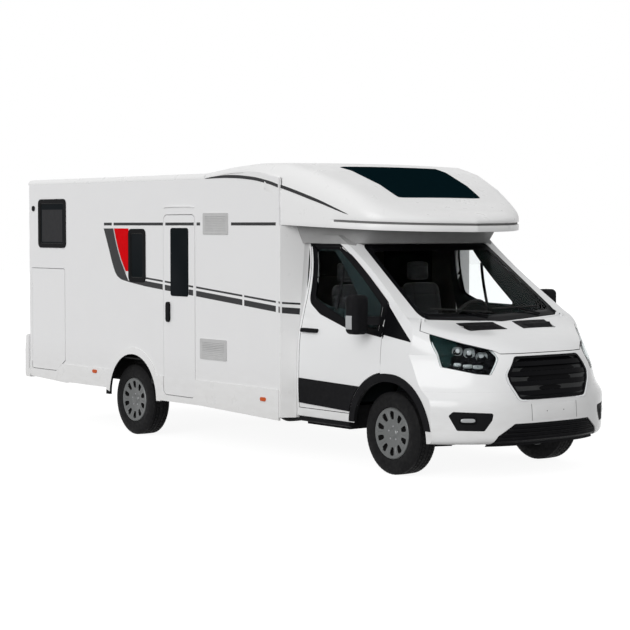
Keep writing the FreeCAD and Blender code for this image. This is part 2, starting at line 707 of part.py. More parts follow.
def prism_y_face(points):
    return Part.Face(wire_through(points, lambda p: V(p.x, 0, p.y)))


def grille():
    """Grille: a bright surround on the nose, louvred bars and a backing panel."""
    ring = cab_solid(-4).cut(cab_solid(24)).common(
        front_region(grown(grille_outline, -seat_gap)).cut(front_region(grown(grille_outline, -20))))
    bars = []
    inside = front_region(grown(grille_outline, -20))
    field = cab_solid(4).cut(cab_solid(40))
    for i in range(4):
        z = 745.0 + i * 82.0
        bars.append(field.common(inside).common(box(3000, 3700, -600, 600, z - 19, z + 19)))
    back = cab_solid(40).cut(cab_solid(46)).common(inside)
    return [ring, back] + bars


def cab_door_hinge():
    """Knuckles in the shut gap of the left cab door, as (body side, door side)."""
    x, y = x_door_front + panel_gap / 2, cab_half_width - door_hinge_inset
    z = door_hinge_z
    side = door_hinge_knuckle
    web = door_hinge_radius
    body, leaf = [], []
    for low, group, x0, x1 in ((z, body, x, x + panel_gap), (z + side, leaf, x - panel_gap, x),
                               (z + 2 * side, body, x, x + panel_gap)):
        knuckle_low, knuckle_high = low + seat_gap / 2, low + side - seat_gap / 2
        pin = Part.makeCylinder(door_hinge_radius, knuckle_high - knuckle_low, V(x, y, knuckle_low))
        group.append(pin.fuse(box(x0, x1, y - web, y - web / 3, knuckle_low, knuckle_high)))
    return body[0].fuse(body[1]), leaf[0]


def bonnet_hinge():
    """Hinge over the left rear corner of the bonnet, as (post on the cowl, arm on the bonnet)."""
    x, z, r = bonnet_hinge_x, bonnet_hinge_z, bonnet_hinge_radius
    y = bonnet_hinge_y
    pin = cylinder((x, y + 6.5, z), (0, 1, 0), r, 13.0 - seat_gap)
    post = pin.fuse(box(x - r, x + r, y + seat_gap / 2, y + 13 - seat_gap / 2, z - 26, z))
    knuckle_pin = cylinder((x, y - 6.5, z), (0, 1, 0), r, 13.0 - seat_gap)
    arm = knuckle_pin.fuse([box(x, x + 36, y - 13, y - seat_gap / 2, z - 3, z + r),
                            box(x + 22, x + 36, y - 13, y - seat_gap / 2, z - 34, z + r)])
    return post, arm


def doors(outer, deep, leaf):
    """Cab doors with their glass, cladding, handle and mirrors."""
    for sign, side in ((1, "left"), (-1, "right")):
        panel = deep.common(side_slab(door_outline(0), 1))
        opening = side_slab(prism_y_face(door_glass_outline), 1)
        panel = panel.cut(opening).fuse(leaf)
        glass = cab_solid(3).cut(cab_solid(8)).common(side_slab(prism_y_face(grown(door_glass_outline,
                                                                                   -seat_gap)), 1))
        strip = [(x_door_rear, 768.0), (x_door_rear, 542.0), (2200.0, 508.0), (2200.0, 745.0)]
        cladding = cab_solid(-trim_proud).cut(outer).common(side_slab(prism_y_face(strip), 1))
        cladding = cladding.cut(front_arch(front_arch_radius + arch_trim + arch_door_gap, 700, 1300))
        handle = cab_solid(-handle_proud).cut(outer).common(side_slab(prism_y_face(rectangle((1262.0,
                                                                                              1500.0,
                                                                                              1190.0,
                                                                                              1226.0), 16)),
                                                                                              1))
        housing = box(2150.0, 2310.0, 1075.0, 1240.0, 1216.0, 1560.0)
        housing = housing.makeFillet(45.0, housing.Edges)
        arm = prism_z([(2384.0, 940.0), (2338.0, 940.0), (2338.0, 1000.0, 20), (2230.0, 1100.0),
                       (2300.0, 1110.0),
                       (2384.0, 1030.0, 30)], 1300.0, 1372.0)
        arm = arm.cut(outer)
        mirror = housing.fuse(arm)
        pieces = {"cab_door_": [panel, cladding, handle], "cab_door_glass_": [glass],
                  "door_mirror_": [mirror]}
        for name, shapes in pieces.items():
            if sign < 0:
                shapes = [mirrored(shape) for shape in shapes]
            save(name + side, shapes)


def tyre(x, y):
    """A tyre with rounded shoulders, seated on its rim."""
    w = tyre_width / 2
    r = tyre_radius
    s = tyre_shoulder
    seat = w * rim_share
    lip = bead_radius + rim_lip + 0.5
    points = [(seat, bead_radius), (seat, lip), (w * 0.97, bead_radius + 32), (w, (bead_radius + r) / 2),
              (w * 0.965, r - s),
              (w - s * 0.55, r - s * 0.16), (w - s - 12, r), (-w + s + 12, r),
              (-w + s * 0.55, r - s * 0.16),
              (-w * 0.965, r - s), (-w, (bead_radius + r) / 2), (-w * 0.97, bead_radius + 32), (-seat, lip),
              (-seat, bead_radius)]
    wire = Part.makePolygon([V(x, y + a, tyre_radius + b) for a, b in points + [points[0]]])
    return Part.Face(wire).revolve(V(x, y, tyre_radius), V(0, 1, 0), 360)


def wheel(x, y, sign):
    """Rim, disc with a ring of slots, and hub bored for the spindle."""
    w = tyre_width / 2 * rim_share
    r = bead_radius
    profile = [(-w - rim_lip * 0.5, r), (-w - rim_lip * 0.5, r + rim_lip), (-w - 0.2, r + rim_lip),
               (-w - 0.2, r - 0.2),
               (w + 0.2, r - 0.2), (w + 0.2, r + rim_lip), (w + rim_lip, r + rim_lip * 0.8),
               (w + rim_lip * 0.7, r - rim_wall), (w - disc_recess, r - rim_wall - 4),
               (w - disc_recess + 10, 160.0), (w - disc_recess + 22, 96.0), (w - disc_recess + 24, 0.0),
               (w - disc_recess + 6, 0.0), (w - disc_recess + 6, 84.0),
               (w - disc_recess - disc_thickness, 150.0),
               (w - disc_recess - disc_thickness - 8, r - rim_wall), (-w - rim_lip * 0.5, r - rim_wall)]
    wire = Part.makePolygon([V(0, a, b) for a, b in profile + [profile[0]]])
    body = Part.Face(wire).revolve(V(0, 0, 0), V(0, 1, 0), 360)
    face_y = w - disc_recess
    hub = cylinder((0, face_y + 10 - hub_length / 2, 0), (0, 1, 0), hub_radius, hub_length)
    bore_length = 2 * hub_length
    body = body.fuse(hub)
    body = body.cut(cylinder((0, face_y - 12 - bore_length / 2, 0), (0, 1, 0), spindle_radius + spindle_gap,
                             bore_length))
    for i in range(slot_count):
        slot = prism_y([(-slot_width / 2, slot_centre_radius - slot_length / 2, 15),
                        (slot_width / 2, slot_centre_radius - slot_length / 2, 15),
                        (slot_width / 2, slot_centre_radius + slot_length / 2, 15),
                        (-slot_width / 2, slot_centre_radius + slot_length / 2, 15)], 0, 200)
        slot.rotate(V(0, 0, 0), V(0, 1, 0), i * 360.0 / slot_count)
        body = body.cut(slot)
    if sign < 0:
        body = mirrored(body)
    body.translate(V(x, y, tyre_radius))
    return body


# Running gear and chassis


def spindle_end(y_wheel):
    """How far out a spindle reaches inside the hub."""
    return y_wheel + tyre_width / 2 * rim_share - disc_recess - 12 - 1


def knuckle():
    """Left upright with its spindle, brake disc and steering arm."""
    y_pin = front_track / 2 - kingpin_inset
    x, z = x_front_axle, tyre_radius
    y_hub = front_track / 2 + tyre_width / 2 * rim_share - disc_recess + 10 - hub_length
    upright = cylinder((x, y_pin, z), (0, 0, 1), kingpin_radius, knuckle_height)
    y_end = spindle_end(front_track / 2)
    spindle = cylinder((x, (y_pin + y_end) / 2, z), (0, 1, 0), spindle_radius, y_end - y_pin)
    collar_end = y_hub - 2
    collar = cylinder((x, (y_pin + collar_end) / 2, z), (0, 1, 0), hub_radius * 0.7, collar_end - y_pin)
    disc = cylinder((x, collar_end - brake_thickness, z), (0, 1, 0), brake_radius, brake_thickness)
    arm = box(x - steering_arm - 15, x, y_pin - 16, y_pin + 16, z - 60, z - 35)
    return upright.fuse([spindle, collar, disc, arm]).removeSplitter()


def front_subframe():
    """Cross member with lower arms, and a damper tower over each upright."""
    y_pin = front_track / 2 - kingpin_inset
    x = x_front_axle
    low = tyre_radius - knuckle_height / 2 - seat_gap
    rail_in = rail_spacing / 2
    beam = box(x - 60, x + 60, -rail_in, rail_in, low - 40, low + 10)
    posts = [box(x - 60, x + 60, sign * rail_in - 30, sign * rail_in + 30, low - 40, rail_bottom() - 0.2)
             for sign in (-1, 1)]
    arm = prism_z([(x - 150, rail_in - 30), (x - 30, y_pin + 10), (x + 30, y_pin + 10),
                   (x + 150, rail_in - 30)],
                  low - 32, low)
    pad = cylinder((x, y_pin, low - 16), (0, 0, 1), kingpin_radius, 32)
    lower = beam.fuse(posts + [arm, pad, mirrored(arm), mirrored(pad)]).removeSplitter()
    top = tyre_radius + knuckle_height / 2 + seat_gap
    strut = cylinder((x, y_pin, (top + damper_top) / 2), (0, 0, 1), kingpin_radius, damper_top - top)
    bridge = box(x - 45, x + 45, rail_in + rail_width / 2 + 0.2, y_pin, damper_top - 60, damper_top)
    leg = box(x - 45, x + 45, rail_in + rail_width / 2 + 0.2, rail_in + rail_width / 2 + 30.2,
              rail_bottom(), damper_top)
    tower = strut.fuse([bridge, leg]).removeSplitter()
    return [lower, tower, mirrored(tower)]


def rail_bottom():
    return floor_bottom - rail_height


def chassis():
    """Two channel rails from the rear bumper to the nose, with cross members and spring hangers."""
    x0, x1 = x_rear_wall + 60, x_nose - 330
    y_in, y_out = rail_spacing / 2 - rail_width / 2, rail_spacing / 2 + rail_width / 2
    z0, z1 = rail_bottom(), floor_bottom - seat_gap
    rail = box(x0, x1, y_in, y_out, z0, z1).cut(
        box(x0 - 1, x1 + 1, y_in - 1, y_out - rail_wall, z0 + rail_wall, z1 - rail_wall))
    for i in (-1, 1):
        rail = rail.cut(cylinder((tow_bolt_x + i * tow_bolt_spacing / 2, y_out, (z0 + z1) / 2), (0, 1, 0),
                                 tow_bolt_radius, 40))
    parts = [rail, mirrored(rail)]
    for x in (x0, -2500.0, x_rear_axle - 250, x_rear_axle + 330, -300.0, 600.0, 1500.0, x1 - 60):
        parts.append(box(x, x + 60, -y_out + rail_wall, y_out - rail_wall, z0 + rail_wall, z1 - rail_wall))
    for x in (x_rear_axle - spring_half_length, x_rear_axle + spring_half_length):
        hanger = box(x - 30, x + 30, rail_spacing / 2 - spring_width / 2,
                     rail_spacing / 2 + spring_width / 2,
                     axle_top() + 22, z0)
        parts += [hanger, mirrored(hanger)]
    return parts


def axle_top():
    return tyre_radius + axle_tube_radius


def rear_axle():
    """Tube axle with brake drums, spindles and a leaf spring each side."""
    x, z = x_rear_axle, tyre_radius
    half = rear_track / 2
    y_hub = half + tyre_width / 2 * rim_share - disc_recess + 10 - hub_length
    tube = cylinder((x, 0, z), (0, 1, 0), axle_tube_radius, 2 * (y_hub - 4))
    end = spindle_end(half)
    spindle = cylinder((x, 0, z), (0, 1, 0), spindle_radius, 2 * end)
    drums = [cylinder((x, sign * (y_hub - 4 - 30), z), (0, 1, 0), brake_radius, 60) for sign in (-1, 1)]
    axle = tube.fuse([spindle] + drums).removeSplitter()
    springs = []
    for sign in (-1, 1):
        y = sign * rail_spacing / 2
        length = spring_half_length
        leaf = box(x - length - 20, x + length + 20, y - spring_width / 2, y + spring_width / 2,
                   axle_top() + 0.2, axle_top() + 22)
        springs.append(leaf)
    return [axle] + springs


def house_floor():
    """Floor slab with covers over the rear wheels."""
    x0, x1 = x_rear_wall + wall + seam, x_wall_front - seam
    y1 = y_side - wall - seam
    slab = box(x0, x1, -y1, y1, floor_bottom, floor_bottom + floor_thickness)
    y_in = rear_track / 2 - tyre_width / 2 - 30
    half = tyre_radius + 45
    for sign in (-1, 1):
        lo, hi = sorted((sign * y_in, sign * (y1 + 1)))
        slab = slab.cut(box(x_rear_axle - half, x_rear_axle + half, lo, hi, 500, 700))
        lo, hi = sorted((sign * (y_in - 12), sign * y1))
        cover = box(x_rear_axle - half - 12, x_rear_axle + half + 12, lo, hi, floor_bottom, wheel_box_top)
        lo, hi = sorted((sign * y_in, sign * (y1 + 1)))
        cover = cover.cut(box(x_rear_axle - half, x_rear_axle + half, lo, hi, 500, wheel_box_top - 12))
        slab = slab.fuse(cover)
    step = box(entrance_door[0], entrance_door[1], -y1 - 1, -y1 + 330, 500, 800)
    slab = slab.cut(step)
    return slab.removeSplitter()


def cab_floor():
    """Cab floor, footwell, bulkhead and wheel covers as one pressing."""
    x0, x1 = x_wall_front + seam, 1985.0
    z = floor_bottom + 30
    y1 = cab_half_width - door_depth - 40
    slab = box(x0, x1, -y1, y1, z, z + 30)
    top = bulkhead_top
    foot = prism_y([(x1 - 1, z), (2120.0, 760.0), (2160.0, top), (2130.0, top), (2100.0, 765.0),
                    (x1 - 1, z + 30)],
                   -530.0, 530.0)
    wall_plate = box(1960.0, x1, -y1, y1, z, top).cut(box(1900, 2100, -522, 522, z + 30, 1100))
    roof_plate = box(1960.0, 2160.0, -y1, y1, top - 8, top).cut(box(1900, 2200, -522, 522, 900, 1100))
    flanges = [box(x_cab_rear + 10, 1900, s * y1 - 5, s * y1 + 5, sill_top + seat_gap, z + 30)
               for s in (-1, 1)]
    legs = [box(1400, 1900, s * 420 - 30, s * 420 + 30, floor_bottom, z) for s in (-1, 1)]
    return slab.fuse([foot, wall_plate, roof_plate] + legs + flanges).removeSplitter()


def front_fairing(gap=0.0):
    """Tall filler from the house side to the cab's rear edge, drawn in as the cab leans in."""
    top = cap_floor_bottom + cap_floor_rise * (x_cap_nose - x_cab_rear) - seam + gap
    x0, x1 = x_wall_front + seam - gap, x_cab_rear - seam + gap
    wires = []
    for z, lean in ((400.0, 0.0), (1000.0, 0.0), (1290.0, 42.0), (1700.0, 78.0), (top, 112.0)):
        outside = cab_half_width - lean + fairing_proud + gap
        inside = cab_half_width - lean - fairing_width - gap
        corners = [(x0, y_side + gap), (x0 + 18, y_side + gap), (x1, outside), (x1, inside), (x0, inside)]
        wires.append(wire_through(corners, lambda p, z=z: V(p.x, p.y, z)))
    post = Part.makeLoft(wires, True, True)
    return [post, mirrored(post)]


def rear_bumper():
    """Moulded rear bumper with a shelf for the lamps."""
    side = [(x_rear_bumper, 470.0, 35), (x_rear_wall + 60, 470.0, 10), (x_rear_wall + 60, floor_bottom - 5),
            (x_rear_wall - seam, floor_bottom - 5), (x_rear_wall - seam, 960.0, 20),
            (x_rear_bumper + 20, 930.0, 25),
            (x_rear_bumper, 760.0, 30)]
    body = prism_y(side, -y_side - skirt_proud, y_side + skirt_proud)
    for sign in (-1, 1):
        lo, hi = sorted((sign * (y_side - wall - 40), sign * (y_side + 60)))
        body = body.cut(box(x_rear_wall + wall, x_rear_wall + 100, lo, hi, 400, 700))
        lo, hi = sorted((sign * 760.0, sign * 1110.0))
        body = body.cut(box(x_rear_bumper - 5, x_rear_bumper + 40, lo, hi, 700.0, 860.0))
    return body


def rear_lamps():
    lamps = []
    for sign in (-1, 1):
        lo, hi = sorted((sign * (760.0 + seat_gap), sign * (1110.0 - seat_gap)))
        lamps.append(box(x_rear_bumper + 8, x_rear_bumper + 40 - seat_gap, lo, hi, 700.0 + seat_gap,
                         860.0 - seat_gap))
    bar = box(x_rear_wall - 22, x_rear_wall - seat_gap, -190, 190, 2480, 2510)
    return lamps + [bar]


def window_frames():
    """Frames and panes of the fixed house windows, as (frames, panes)."""
    frames, panes = [], []
    for sign, windows in ((-1, [bedroom_window, dinette_window]),
                          (1, [bedroom_window, kitchen_window, lounge_window])):
        for bounds in windows:
            face = sign * y_side
            ring = prism_y(rectangle(bounds, 55, 0), face, face + sign * frame_proud)
            plug = prism_y(rectangle(bounds, 40, frame_width / 2 + seat_gap), face - sign * wall, face)
            hole = prism_y(rectangle(bounds, 34, frame_width), face - sign * (wall + 5),
                           face + sign * (frame_proud + 5))
            frames.append(ring.fuse(plug).cut(hole).removeSplitter())
            panes.append(prism_y(rectangle(bounds, 33, frame_width + seat_gap),
                                 face - sign * pane_thickness, face))
    return frames, panes


def side_hinges(x, sign, heights, towards):
    """Surface hinges on one side of the house, as (plates on the wall, plates on the leaf).

    towards is the way from the pin to the leaf along X."""
    y = sign * (y_side + side_pin_proud)
    body, leaf = [], []
    for z in heights:
        for i in range(3):
            low, high = z + i * side_knuckle + seat_gap / 2, z + (i + 1) * side_knuckle - seat_gap / 2
            pin = Part.makeCylinder(side_pin_radius, high - low, V(x, y, low))
            way = towards if i == 1 else -towards
            seat = y_side + (leaf_proud if i == 1 else 0.0)
            x0, x1 = sorted((x, x + way * side_plate))
            y0, y1 = sorted((sign * seat, sign * (seat + side_plate_thickness)))
            (leaf if i == 1 else body).append(pin.fuse(box(x0, x1, y0, y1, low, high)))
    return body, leaf


def entrance():
    """Entrance door panel and its tall window."""
    outer = -y_side
    hinge = side_hinges(entrance_door[1] + panel_gap / 2, -1, (700.0, 1950.0), -1)[1]
    panel = prism_y(rectangle(entrance_door, 60), outer - leaf_proud, outer + leaf_thickness).fuse(hinge)
    panel = panel.cut(prism_y(rectangle(entrance_window, 30), outer - 20, outer + 80))
    handle = prism_y(rectangle((-724.0, -664.0, 1202.0, 1402.0), 29), outer - 24, outer - leaf_proud)
    pane = prism_y(rectangle(entrance_window, 30, seat_gap), outer - 5, outer + 16)
    return [panel, handle], pane


def garage_leaf(sign):
    outer = sign * y_side
    hinge = side_hinges(garage_door[0] - panel_gap / 2, sign, (760.0, 1450.0), 1)[1]
    return prism_y(garage_outline(0), outer + sign * leaf_proud, outer - sign * leaf_thickness).fuse(hinge)


def body_vents():
    plates = []
    for bounds in vents:
        face = -y_side
        flange = prism_y(rectangle(bounds, 14), face - 7, face)
        plug = prism_y(rectangle(bounds, 14, 25 + seat_gap), face, face + 14)
        plate = flange.fuse(plug)
        x0, x1, z0, z1 = bounds
        rows = 9
        pitch = (z1 - z0 - 60) / rows
        for i in range(rows):
            z = z0 + 30 + pitch * (i + 0.25)
            plate = plate.cut(box(x0 + 36, x1 - 36, face - 8, face - 1, z, z + pitch * 0.45))
        plates.append(plate.removeSplitter())
    return plates


def skylight_pane():
    return cap_loft(2).cut(cap_loft(2 + skylight_thickness)).common(skylight_zone(seat_gap))


def roof_hatches():
    """Three flat roof hatches on the left half of the roof."""
    top = roof_edge + roof_crown
    hatches = []
    for x, size in ((-2900.0, 400.0), (-1500.0, 400.0), (-600.0, 320.0)):
        half = size / 2
        rim = box(x - half, x + half, hatch_y - half, hatch_y + half, top - 14, top + 6)
        lid = box(x - half - 20, x + half + 20, hatch_y - half - 20, hatch_y + half + 20, top + 6, top + 24)
        hatches.append(rim.fuse(lid.makeFillet(8,
                                               lid.Edges)).removeSplitter().cut(roof().translated(V(0, 0,
                                                                                                    seat_gap))))
    return hatches


def dashboard():
    foot = bulkhead_top + seat_gap
    points = [(2110.0, foot), (2110.0, 1060.0, 10), (2080.0, 1120.0, 20), (2110.0, 1295.0, 40),
              (2230.0, 1345.0, 40),
              (2690.0, 1312.0), (2660.0, 1200.0), (2400.0, 1075.0), (2300.0, foot)]
    return prism_y(points, -930, 930).common(cab_solid(door_depth + 12))


wheel_hub = V(1985.0, 400.0, 1300.0)
column_axis = V(0.866, 0.0, -0.5)
steering_wheel_radius = 190.0
steering_rim = 15.0
column_radius = 22.0
column_cover_radius = 45.0


def steering_wheel():
    rim = Part.makeTorus(steering_wheel_radius, steering_rim, wheel_hub, column_axis)
    hub = Part.makeCylinder(62, 46, wheel_hub - column_axis * 10, column_axis)
    spokes = [Part.makeBox(24, steering_wheel_radius * 2 - 20, 14, V(-12, -steering_wheel_radius + 10, -7))]
    spokes.append(Part.makeBox(steering_wheel_radius - 10, 24, 14, V(0, -12, -7)))
    placed = []
    turn = FreeCAD.Rotation(V(0, 0, 1), column_axis)
    for spoke in spokes:
        spoke.Placement = FreeCAD.Placement(wheel_hub + column_axis * 4, turn)
        placed.append(spoke)
    shaft = Part.makeCylinder(column_radius, 90, wheel_hub + column_axis * 30, column_axis)
    return rim.fuse([hub, shaft] + placed).removeSplitter()


def dash_with_column():
    """Dashboard with the steering column's fixed cover let into it."""
    hole = Part.makeCylinder(column_cover_radius, 320, wheel_hub + column_axis * 50, column_axis)
    cover = Part.makeCylinder(column_cover_radius, 250, wheel_hub + column_axis * (120 + seat_gap),
                              column_axis)
    return [dashboard().cut(hole), cover]


def seats():
    """Seat boxes, cushions and backs of the two cab seats."""
    boxes, cushions, backs = [], [], []
    z = floor_bottom + 60
    for sign in (-1, 1):
        y = sign * 430.0
        boxes.append(box(1340, 1760, y - 210, y + 210, z + 0.2, z + 270))
        cushion = box(1300, 1800, y - 245, y + 245, z + 270.5, z + 400)
        cushions.append(cushion.makeFillet(35, cushion.Edges))
        back = prism_y([(1290.0, z + 400.3, 30), (1420.0, z + 400.3, 30), (1290.0, z + 1010, 40),
                        (1190.0, z + 1010, 40)],
                       y - 235, y + 235)
        rest = prism_y([(1178.0, z + 1010.3, 25), (1275.0, z + 1010.3, 25), (1250.0, z + 1200, 40),
                        (1165.0, z + 1200, 40)],
                       y - 130, y + 130)
        backs += [back, rest]
    return boxes, cushions, backs


def engine():
    block = box(2430.0, 2990.0, -370.0, 370.0, rail_bottom() + 130.0, 1040.0)
    feet = box(2600.0, 2700.0, -rail_spacing / 2, rail_spacing / 2, floor_bottom + seat_gap,
               floor_bottom + 60)
    return block.fuse(feet).removeSplitter()


def tanks():
    """Fuel and water tanks between and beside the rails, with the exhaust."""
    y = rail_spacing / 2 + rail_width / 2
    fuel = box(1180.0, 1800.0, -880.0, -y - seat_gap, 330.0, 540.0)
    fresh = box(-600.0, 400.0, -370.0, 370.0, 380.0, rail_bottom() + rail_wall - seat_gap)
    return [fuel, fresh]


def marker_lamps():
    """Amber lamps on the skirts and dark outline lamps near the rear corners."""
    lamps = []
    face = -(y_side + skirt_proud)
    for x, z in ((-2101.0, 620.0), (899.0, 552.0)):
        lamp = prism_y(rectangle((x - 42, x + 42, z - 18, z + 18), 16), face - 9, face - seat_gap)
        lamps += [lamp, mirrored(lamp)]
    outline = prism_y(rectangle((-3432.0, -3378.0, 2318.0, 2376.0), 26), -y_side - 12, -y_side - seat_gap)
    return lamps + [outline, mirrored(outline)]


def main():
    os.makedirs("parts", exist_ok=True)
    outer = cab_solid(0)
    inner = cab_solid(cab_skin)
    save("chassis_frame", chassis())
    save("front_subframe", front_subframe())
    save("rear_axle", rear_axle())
    save("engine", engine())
    save("tanks", tanks())
    save("house_floor", house_floor())
    save("cab_floor", cab_floor())
    save("side_wall_right", side_wall(-1, [bedroom_window, dinette_window]))
    save("side_wall_left", side_wall(1, [bedroom_window, kitchen_window, lounge_window]))
    save("skirt_right", skirt(-1))
    save("skirt_left", skirt(1))
    save("rear_wall", rear_wall())
    save("roof", roof())
    save("overcab_cap", overcab_cap())
    save("cap_soffit", soffit())
    save("front_fairings", front_fairing())
    save("rear_bumper", rear_bumper())
    save("rear_lamps", rear_lamps())
    frames, panes = window_frames()
    save("window_frames", frames)
    save("window_panes", panes)
    save("body_vents", body_vents())
    save("skylight", skylight_pane())
    save("roof_hatches", roof_hatches())
    save("marker_lamps", marker_lamps())
    door, pane = entrance()
    save("entrance_door", door)
    save("entrance_window", pane)
    save("garage_door_right", garage_leaf(-1))
    save("garage_door_left", garage_leaf(1))
    build_cab(outer, inner)
    save("dashboard", dash_with_column())
    save("steering_wheel", steering_wheel())
    boxes, cushions, backs = seats()
    save("seat_boxes", boxes)
    save("seat_cushions", cushions)
    save("seat_backs", backs)
    left = knuckle()
    save("knuckle_left", left)
    save("knuckle_right", mirrored(left))
    for end, x, track in (("front", x_front_axle, front_track), ("rear", x_rear_axle, rear_track)):
        for side, sign in (("left", 1), ("right", -1)):
            save("tyre_" + end + "_" + side, tyre(x, sign * track / 2))
            save("wheel_" + end + "_" + side, wheel(x, sign * track / 2, sign))


if __name__ == "__main__":
    main()
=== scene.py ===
import math

import bmesh
import bpy
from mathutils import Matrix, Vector
import numpy as np


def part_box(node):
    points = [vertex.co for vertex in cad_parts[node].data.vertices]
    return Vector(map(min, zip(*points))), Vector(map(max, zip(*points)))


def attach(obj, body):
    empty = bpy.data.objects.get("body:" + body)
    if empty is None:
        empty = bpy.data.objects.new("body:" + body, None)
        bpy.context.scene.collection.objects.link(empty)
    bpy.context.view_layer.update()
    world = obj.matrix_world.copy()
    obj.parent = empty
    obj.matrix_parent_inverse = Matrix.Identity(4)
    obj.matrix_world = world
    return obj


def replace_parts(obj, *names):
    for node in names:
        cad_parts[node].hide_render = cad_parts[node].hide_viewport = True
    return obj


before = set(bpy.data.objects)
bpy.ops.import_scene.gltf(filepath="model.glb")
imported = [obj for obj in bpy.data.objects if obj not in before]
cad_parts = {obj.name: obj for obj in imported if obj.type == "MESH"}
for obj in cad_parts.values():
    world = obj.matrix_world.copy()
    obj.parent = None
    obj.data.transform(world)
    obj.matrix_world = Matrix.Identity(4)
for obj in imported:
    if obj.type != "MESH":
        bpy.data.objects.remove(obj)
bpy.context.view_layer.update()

# Camera of the photograph: its place, heading, tilt and lens
CAMERA_PLACE = (14.3305, -11.044, 2.163)
CAMERA_HEADING = 141.96
CAMERA_TILT = -2.86
CAMERA_LENS = 102.77

# Places along the vehicle are laid out from the nose, as in the part's source, and moved by SHIFT
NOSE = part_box("front_bumper")[1][0]
SHIFT = NOSE - 3.495
SIDE = 1.175
SIDES = ((-1, "right"), (1, "left"))
FRONT_AXLE = 2.479 + SHIFT
REAR_AXLE = FRONT_AXLE - 3.954
TYRE_RADIUS = 0.362


# Materials


def shader_node(tree, kind, *feeds, **settings):
    """A node of a shader tree, whose first inputs are joined to sockets or set to values."""
    made = tree.nodes.new("ShaderNode" + kind)
    for label, value in settings.items():
        setattr(made, label, value)
    for target, value in zip(made.inputs, feeds):
        if isinstance(value, bpy.types.NodeSocket):
            tree.links.new(value, target)
        else:
            target.default_value = value
    return made


class Paint:
    """A material under construction: its node tree, its shader and short ways to feed it."""

    def __init__(self, name, colour, roughness, gloss=0.5, **sockets):
        self.material = bpy.data.materials.new(name)
        self.material.use_nodes = True
        self.tree = self.material.node_tree
        self.shader = self.tree.nodes["Principled BSDF"]
        self.shader.inputs["Base Color"].default_value = (*colour, 1.0)
        self.shader.inputs["Roughness"].default_value = roughness
        self.shader.inputs["Specular IOR Level"].default_value = gloss
        for label, value in sockets.items():
            self.shader.inputs[label.replace("_", " ")].default_value = value
        self.place = self.tree.nodes.new("ShaderNodeTexCoord").outputs["Object"]

    def noise(self, scale, detail=3.0, stretch=(1.0, 1.0, 1.0)):
        """Noise in metres, drawn out by stretch."""
        mapping = shader_node(self.tree, "Mapping", self.place)
        mapping.inputs["Scale"].default_value = stretch
        noise = shader_node(self.tree, "TexNoise", mapping.outputs["Vector"])
        noise.inputs["Scale"].default_value = scale
        noise.inputs["Detail"].default_value = detail
        return noise.outputs["Fac"]

    def along(self, axis):
        return shader_node(self.tree, "SeparateXYZ", self.place).outputs[axis]

    def product(self, one, other):
        return shader_node(self.tree, "Math", one, other, operation="MULTIPLY").outputs[0]

    def waves(self, axis, spacing):
        """Ridges across one axis, spacing metres apart, between 0 and 1."""
        turn = self.product(self.along(axis), 2 * math.pi / spacing)
        wave = shader_node(self.tree, "Math", turn, operation="SINE")
        return self.span(wave.outputs[0], -1.0, 1.0, 0.0, 1.0)

    def span(self, value, low, high, to_low, to_high):
        """value from low..high carried to to_low..to_high."""
        return shader_node(self.tree, "MapRange", value, low, high, to_low, to_high).outputs["Result"]

    def tint(self, factor, other):
        """Base colour drawn towards other where factor is high."""
        mix = shader_node(self.tree, "Mix", factor, data_type="RGBA")
        current = self.shader.inputs["Base Color"]
        if current.is_linked:
            self.tree.links.new(current.links[0].from_socket, mix.inputs["A"])
        else:
            mix.inputs["A"].default_value = current.default_value
        mix.inputs["B"].default_value = (*other, 1.0)
        self.tree.links.new(mix.outputs["Result"], current)

    def rough(self, factor, low, high):
        self.tree.links.new(self.span(factor, 0.3, 0.7, low, high), self.shader.inputs["Roughness"])

    def bump(self, height, distance, strength=1.0):
        made = shader_node(self.tree, "Bump")
        made.inputs["Distance"].default_value = distance
        made.inputs["Strength"].default_value = strength
        self.tree.links.new(height, made.inputs["Height"])
        self.tree.links.new(made.outputs["Normal"], self.shader.inputs["Normal"])


def body_paint(name, colour, roughness, ripple):
    """White lacquer with a faint ripple, and a little road film towards the sills."""
    paint = Paint(name, colour, roughness, Coat_Weight=0.2, Coat_Roughness=0.12, gloss=0.3)
    paint.tint(paint.span(paint.noise(2.5), 0.35, 0.7, 0.0, 0.2), tuple(c * 0.95 for c in colour))
    low = paint.span(paint.along("Z"), 0.9, 0.35, 0.0, 0.5)
    paint.tint(paint.product(low, paint.noise(7.0, 5.0, (1.0, 1.0, 3.0))), (0.55, 0.54, 0.52))
    paint.rough(paint.noise(9.0), roughness * 0.85, roughness * 1.3)
    paint.bump(paint.noise(ripple, 1.0), 0.0006, 0.12)
    return paint.material


white_gelcoat = body_paint("white_gelcoat", (0.80, 0.80, 0.80), 0.3, 5.0)
white_sheet = body_paint("white_sheet", (0.79, 0.79, 0.795), 0.34, 6.0)
white_lacquer = body_paint("white_lacquer", (0.80, 0.805, 0.81), 0.18, 40.0)


def plain(name, colour, roughness, grain=400.0, depth=0.00015, **sockets):
    """Moulded or painted surface with a fine grain."""
    paint = Paint(name, colour, roughness, **sockets)
    paint.tint(paint.span(paint.noise(11.0), 0.35, 0.7, 0.0, 0.35), tuple(c * 0.8 for c in colour))
    paint.rough(paint.noise(23.0), roughness * 0.85, min(roughness * 1.2, 1.0))
    paint.bump(paint.noise(grain), depth, 0.6)
    return paint.material


